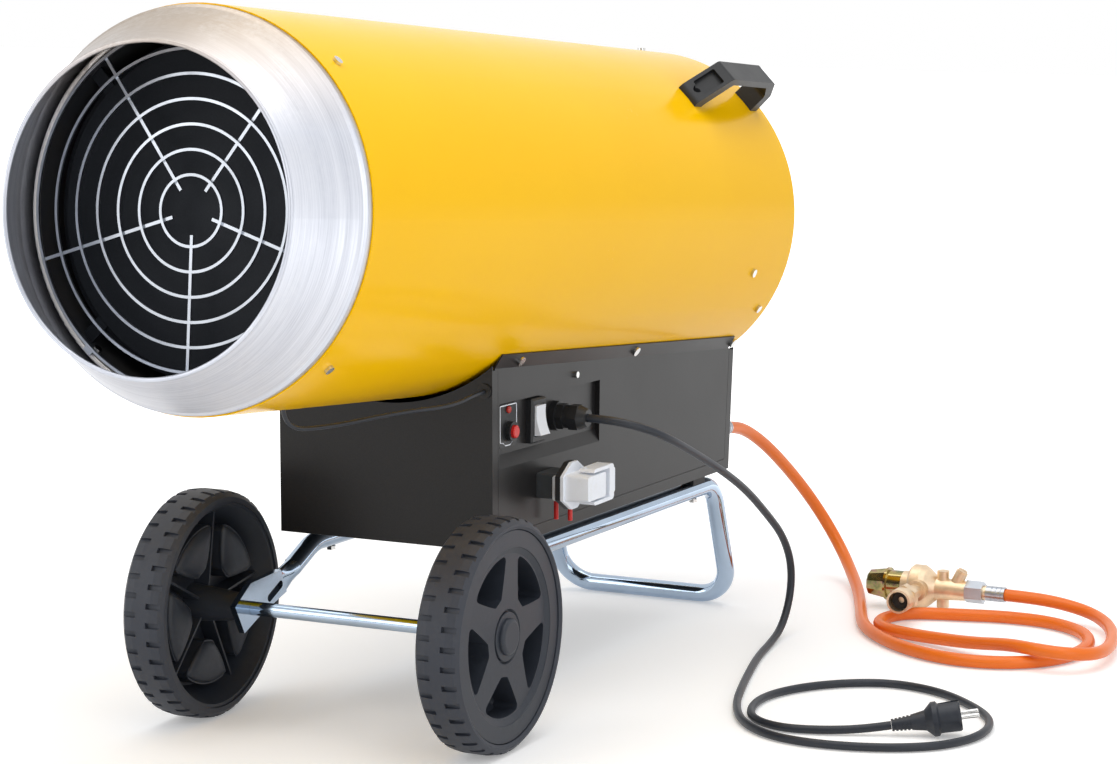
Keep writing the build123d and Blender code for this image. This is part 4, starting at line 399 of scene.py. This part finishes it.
HOSE_ROUTE = [
    (112, 541.6, 227.5),
    (112, 582, 223.8), (114, 622, 213), (121, 668, 188), (131, 717, 151), (144, 757, 111), (163, 777, 71),
    (188, 768, 38), (216, 731, 18), (248, 672, 9), (284, 587, 7.9), (314, 512, 7.9), (345, 464, 7.9),
    (390, 419, 7.9), (441, 387, 7.9), (490, 375, 7.9), (537, 384, 7.9), (576, 412, 7.9), (599, 462, 7.9),
    (599, 522, 7.9), (573, 578, 7.9), (523, 613, 7.9), (462, 618, 7.9), (406, 603, 7.9), (355, 590, 7.9),
    (333, 562, 7.9), (330, 522, 7.9), (351, 491, 7.9), (387, 474, 8.6), (432, 458, 10.5), (483, 436, 15),
    (534, 413, 23.4), (571, 394, 25.5), (606, 393, 24), (630, 420, 20), (634, 461, 16), (627, 511, 13.5),
    (614, 559, 13), (594, 606, 14), (562, 642, 18), (517, 650, 25), (474, 640, 30), (429.2, 640, 30),
]
CORD_ROUTE = [
    (161, 52.25, 315),
    (184, 52.25, 315), (210, 61.7, 310.5), (230.8, 81, 301.2), (243, 110.5, 287), (246, 177, 259),
    (248, 239, 232), (249, 304, 200), (248, 368, 161), (248, 420, 125), (247, 450, 85), (246, 449, 45),
    (247, 420, 13), (254, 368, 5.2), (263, 318, 4.9), (277, 262, 4.9), (306, 162, 4.9), (333, 80, 4.9),
    (367, 16, 4.9), (412, -24, 4.9), (460, -37, 4.9), (517, -31, 4.9), (569, -9, 4.9), (603, 24, 4.9),
    (620, 77, 4.9), (609, 136, 4.9), (572, 186, 4.9), (516, 234, 4.9), (454, 250, 4.9), (404, 226, 4.9),
    (367, 184, 4.9), (347, 131, 4.9), (352, 77, 4.9), (374, 30, 4.9), (415, 8, 4.9), (460, 18, 4.9),
    (501.4, 37.2, 6.6), (526.8, 47.9, 11.2),
]
LEAD_ROUTE = [
    (122, -88, 363.5), (122, -124.75, 363.5), (116, -166.75, 355.5), (92, -236.75, 357.5),
    (54, -322.75, 351.1), (40, -382.75, 357.1), (40, -382.75, 382.4),
]


def smooth_cord(name, route, radius, finish):
    """Round cord as one smooth spline, with the route's points as its control points."""
    line = bpy.data.curves.new(name, "CURVE")
    line.dimensions = "3D"
    line.resolution_u = 10
    line.bevel_depth = radius * MM
    line.bevel_resolution = 5
    line.use_fill_caps = True
    spline = line.splines.new("NURBS")
    spline.points.add(len(route) - 1)
    for point, (x, y, z) in zip(spline.points, route):
        point.co = (x * MM, y * MM, z * MM, 1.0)
    spline.use_endpoint_u = True
    spline.order_u = 3
    cord = bpy.data.objects.new(name, line)
    bpy.context.scene.collection.objects.link(cord)
    line.materials.append(FINISHES[finish])
    return cord


gas_hose = smooth_cord("orange_hose", HOSE_ROUTE, HOSE_R, "hose_orange")
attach(gas_hose, "heater_body")
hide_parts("gas_hose")

mains_cord = smooth_cord("black_mains_cord", CORD_ROUTE, CORD_R, "cord_black")
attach(mains_cord, "heater_body")
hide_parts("mains_cord")

spark_lead = smooth_cord("black_ignition_lead", LEAD_ROUTE, LEAD_R, "cord_black")
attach(spark_lead, "heater_body")
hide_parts("ignition_lead")


# ---- Meshes of the small pieces ----------------------------------------------------------------------


def join_rings(build, ring, other):
    """Band of four-sided faces between two rings of as many points."""
    for index in range(len(ring)):
        after = (index + 1) % len(ring)
        build.faces.new((ring[index], ring[after], other[after], other[index]))


def finish_piece(name, build, finish):
    """Make the object of a mesh in the making, with its faces outwards and its finish on."""
    bmesh.ops.recalc_face_normals(build, faces=build.faces)
    mesh = bpy.data.meshes.new(name)
    build.to_mesh(mesh)
    build.free()
    mesh.materials.append(FINISHES[finish])
    piece = bpy.data.objects.new(name, mesh)
    bpy.context.scene.collection.objects.link(piece)
    return piece


# ---- Line round the reset plate ----------------------------------------------------------------------

PLATE_CENTRE = Vector((126.4, -60.75, 321))   # on the plate's front
PLATE_SLOPE = math.radians(1.5)
PLATE_ALONG = Vector((0, math.cos(PLATE_SLOPE), -math.sin(PLATE_SLOPE)))
# Round the line's outer edge: millimetres along the plate and up from its centre.
LINE_CORNERS = [
    (-18.6, 22.4), (18.6, 22.4), (19.8, 21.2), (19.8, -17), (18.6, -18.2), (9, -18.2),
    (4, -22.4), (-7, -22.4), (-12, -18.2), (-18.6, -18.2), (-19.8, -17), (-19.8, 21.2),
]
LINE_WIDTH, LINE_LIFT = 1.2, 0.15
LEAST_MITRE = 0.4   # keeps the line from widening too much at a sharp corner


def line_inset(index):
    """Step from one corner of the outline to the same corner of the line's inner edge.

    Beside the dip, where the outline turns the other way, the step points out of it, and the line pinches."""
    corner = Vector(LINE_CORNERS[index])
    before = Vector(LINE_CORNERS[index - 1]) - corner
    after = Vector(LINE_CORNERS[(index + 1) % len(LINE_CORNERS)]) - corner
    inward = (before.normalized() + after.normalized()).normalized()
    return inward * LINE_WIDTH / max(LEAST_MITRE, abs(math.sin(before.angle(after) / 2)))


def reset_plate_line():
    """White line printed round the reset plate, a little proud of it, with a dip in its lower side."""
    build = bmesh.new()
    rings = [[], [], [], []]
    for index, corner in enumerate(LINE_CORNERS):
        outer = Vector(corner)
        inner = outer + line_inset(index)
        section = ((outer, 0), (outer, LINE_LIFT), (inner, LINE_LIFT), (inner, 0))
        for ring, (spot, lift) in zip(rings, section):
            place = PLATE_CENTRE + PLATE_ALONG * spot.x + Vector((lift, 0, spot.y))
            ring.append(build.verts.new(place * MM))
    for ring, other in zip(rings, rings[1:] + rings[:1]):
        join_rings(build, ring, other)
    piece = finish_piece("reset_plate_line", build, "white_plastic")
    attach(piece, "heater_body")


reset_plate_line()


# ---- Strip on the thermostat connector's socket ------------------------------------------------------

STRIP_W, STRIP_H, STRIP_OUT = 5.5 * MM, 28 * MM, 1.2 * MM
STRIP_BELOW = 15 * MM      # from the socket's middle down to the strip's lower end
STRIP_GAP = 0.8 * MM       # to the gasket
STRIP_SINK = 0.1 * MM      # how far the strip's back is let into the socket
STRIP_CORNER, STRIP_EDGE = 2 * MM, 0.4 * MM


def connector_strip():
    """White moulded strip beside the connector's gasket, on the socket's front side."""
    socket_low, socket_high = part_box("connector_socket")
    front = socket_low[1]
    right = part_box("connector_gasket")[0][0] - STRIP_GAP
    left = right - STRIP_W
    low = (socket_low[2] + socket_high[2]) / 2 - STRIP_BELOW
    high = low + STRIP_H
    corners = [(left, low + STRIP_CORNER), (left + STRIP_CORNER, low), (right, low), (right, high),
               (left + STRIP_CORNER, high), (left, high - STRIP_CORNER)]
    build = bmesh.new()
    back = [build.verts.new((x, front + STRIP_SINK, z)) for x, z in corners]
    face = [build.verts.new((x, front - STRIP_OUT, z)) for x, z in corners]
    build.faces.new(back)
    build.faces.new(face)
    join_rings(build, back, face)
    bmesh.ops.recalc_face_normals(build, faces=build.faces)
    bmesh.ops.bevel(build, geom=build.edges[:], offset=STRIP_EDGE, segments=2, affect="EDGES")
    piece = finish_piece("connector_strip", build, "white_plastic")
    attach(piece, "heater_body")


connector_strip()


# ---- Pocket backs behind the wheels' windows ---------------------------------------------------------

AXLE_RUN, AXLE_HEIGHT = -197.15, 124.0
WHEEL_WINDOWS = 5
FIRST_WINDOW, WINDOW_TURN = math.radians(117.0), math.radians(72.0)
WINDOW_OUT, WINDOW_SIDE = 86.0, math.radians(27.5)   # radius of the wide end, and its turn to each side
WINDOW_BEND, WINDOW_END = Vector((53.0, 26.0)), Vector((41.0, 7.5))
WINDOW_MIDDLE = Vector((64.0, 0.0))
OUTLINE_STEPS = 10
BACK_X, BACK_DEPTH = 168.0, 7.0   # where a pocket's back meets its walls, and how far it domes inwards
BACK_DOME = ((1.0, 0.0), (0.93, 0.45), (0.80, 0.75), (0.60, 0.92), (0.30, 1.0))   # shares of size and depth
BACK_WALL = 2.0


def window_outline():
    """Outline of one window about its own middle line: wide arc outside, curved sides, short flat inside."""
    half = []
    for step in range(OUTLINE_STEPS + 1):
        turn = WINDOW_SIDE * step / OUTLINE_STEPS
        half.append(Vector((WINDOW_OUT * math.cos(turn), WINDOW_OUT * math.sin(turn))))
    wide = half[-1]
    for step in range(1, OUTLINE_STEPS + 1):
        share = step / OUTLINE_STEPS
        half.append(wide.lerp(WINDOW_BEND, share).lerp(WINDOW_BEND.lerp(WINDOW_END, share), share))
    return half + [Vector((spot.x, -spot.y)) for spot in reversed(half[1:])]


def pocket_back(name, side, turn):
    """Closed back of one window pocket, domed towards the middle of the cart."""
    build = bmesh.new()
    rings = []
    for shrink, depth in BACK_DOME:
        ring = []
        for corner in window_outline():
            spot = WINDOW_MIDDLE + (corner - WINDOW_MIDDLE) * shrink
            run = AXLE_RUN + spot.x * math.cos(turn) - spot.y * math.sin(turn)
            height = AXLE_HEIGHT + spot.x * math.sin(turn) + spot.y * math.cos(turn)
            ring.append(build.verts.new(Vector((side * (BACK_X - BACK_DEPTH * depth), run, height)) * MM))
        rings.append(ring)
    for ring, inner in zip(rings, rings[1:]):
        join_rings(build, ring, inner)
    build.faces.new(rings[-1])
    for face in build.faces:
        face.smooth = True
    piece = finish_piece(name, build, "wheel_plastic")
    wall = piece.modifiers.new("wall", "SOLIDIFY")
    wall.thickness = BACK_WALL * MM
    wall.offset = 0.0
    return piece


for label, side in (("right", 1), ("left", -1)):
    for index in range(WHEEL_WINDOWS):
        turn = FIRST_WINDOW + index * WINDOW_TURN
        back = pocket_back(f"wheel_{label}_pocket_back_{index + 1}", side, turn)
        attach(back, f"wheel_{label}_body")


# ---- Studio and camera, in metres --------------------------------------------------------------------

WHITE = (1.0, 1.0, 1.0, 1.0)
FLOOR_HALF, FLOOR_DROP = 12.0, 0.0005
GLOW_START, GLOW_FULL = 0.6, 2.6   # the floor goes over to white between these distances
GLOW_LEAST = 0.26                  # its glow up to the first of them
ROOM_FRONT = (0.42, -0.88, 0.22)   # the side of the studio that gloss shows dimmer
ROOM_TURN, ROOM_DIMMEST = 0.25, 0.9   # cosines to that side where the dimming starts and where it is full
ROOM_DIM = 0.30    # strength of that side in gloss
DAYLIGHT = 0.5     # strength of the surroundings as light on the object
CAMERA_PLACE = (1.72134, -3.16503, 0.89231)
CAMERA_AHEAD = (-0.4383, 0.8864, -0.1487)
SENSOR_MM, LENS_MM = 36.0, 106.34


def seen_rays(tree):
    """Two masks: what the camera sees directly, and what it sees in a gloss or through glass."""
    ray = tree.nodes.new("ShaderNodeLightPath")
    mirrored = add_math(tree, "MAXIMUM", ray.outputs["Is Glossy Ray"], ray.outputs["Is Transmission Ray"])
    return ray.outputs["Is Camera Ray"], mirrored


def studio_floor():
    """Pale floor that takes the object's shadow, and runs out to plain white for the camera and in gloss."""
    paper = Finish("studio_white", (0.90, 0.90, 0.90), 0.7, Specular_IOR_Level=0.1)
    tree = paper.tree
    away = tree.nodes.new("ShaderNodeVectorMath")
    away.operation = "LENGTH"
    tree.links.new(paper.place, away.inputs[0])
    far_white = add_ramp(tree, away.outputs["Value"], GLOW_START, GLOW_FULL, GLOW_LEAST, 1.0)
    glow = add_math(tree, "MULTIPLY", add_math(tree, "MAXIMUM", *seen_rays(tree)), far_white)
    paper.surface.inputs["Emission Color"].default_value = WHITE
    tree.links.new(glow, paper.surface.inputs["Emission Strength"])
    mesh = bpy.data.meshes.new("studio_floor")
    corners = [(x * FLOOR_HALF, y * FLOOR_HALF, 0) for x, y in ((-1, -1), (1, -1), (1, 1), (-1, 1))]
    mesh.from_pydata(corners, [], [(0, 1, 2, 3)])
    mesh.materials.append(paper.material)
    floor = bpy.data.objects.new("studio_floor", mesh)
    floor.location.z = -FLOOR_DROP
    bpy.context.scene.collection.objects.link(floor)


def studio_world():
    """Surroundings: white to the camera, dimmer in front when seen in gloss, and even as light."""
    world = bpy.data.worlds.new("studio")
    world.use_nodes = True
    tree = world.node_tree
    tree.nodes.clear()
    toward = tree.nodes.new("ShaderNodeVectorMath")
    toward.operation = "DOT_PRODUCT"
    toward.inputs[1].default_value = ROOM_FRONT
    tree.links.new(tree.nodes.new("ShaderNodeTexCoord").outputs["Generated"], toward.inputs[0])
    room = add_ramp(tree, toward.outputs["Value"], ROOM_TURN, ROOM_DIMMEST, 1.0, ROOM_DIM)
    direct, mirrored = seen_rays(tree)
    as_seen = add_math(tree, "MAXIMUM", direct, add_math(tree, "MULTIPLY", mirrored, room))
    shade = tree.nodes.new("ShaderNodeBackground")
    shade.inputs["Color"].default_value = WHITE
    tree.links.new(add_ramp(tree, as_seen, 0.0, 1.0, DAYLIGHT, 1.0), shade.inputs["Strength"])
    output = tree.nodes.new("ShaderNodeOutputWorld")
    tree.links.new(shade.outputs[0], output.inputs["Surface"])
    bpy.context.scene.world = world


def soft_lamp(name, place, target, size, watts):
    lamp = bpy.data.lights.new(name, "AREA")
    lamp.shape = "RECTANGLE"
    lamp.size, lamp.size_y = size
    lamp.energy = watts
    holder = bpy.data.objects.new(name, lamp)
    holder.location = place
    holder.rotation_euler = (Vector(target) - Vector(place)).to_track_quat("-Z", "Y").to_euler()
    bpy.context.scene.collection.objects.link(holder)


def photo_camera():
    """The photograph's viewpoint, worked out from the drum's circles, the wheels and the box."""
    camera = bpy.data.cameras.new("photo_camera")
    camera.sensor_width = SENSOR_MM
    camera.lens = LENS_MM
    holder = bpy.data.objects.new("photo_camera", camera)
    ahead = Vector(CAMERA_AHEAD).normalized()
    right = ahead.cross(Vector((0, 0, 1))).normalized()
    turn = Matrix((right, right.cross(ahead), -ahead)).transposed()
    holder.matrix_world = Matrix.Translation(CAMERA_PLACE) @ turn.to_4x4()
    bpy.context.scene.collection.objects.link(holder)
    bpy.context.scene.camera = holder


studio_floor()
studio_world()
soft_lamp("overhead", place=(0.2, -0.3, 3.2), target=(0, 0, 0.4), size=(3.6, 3.6), watts=72)
soft_lamp("front_left", place=(-2.6, -3.0, 1.9), target=(0, -0.2, 0.4), size=(2.6, 2.4), watts=40)
soft_lamp("front_right", place=(3.2, -1.6, 1.5), target=(0, 0, 0.4), size=(2.2, 2.4), watts=26)
photo_camera()
bpy.context.scene.view_settings.view_transform = "Standard"
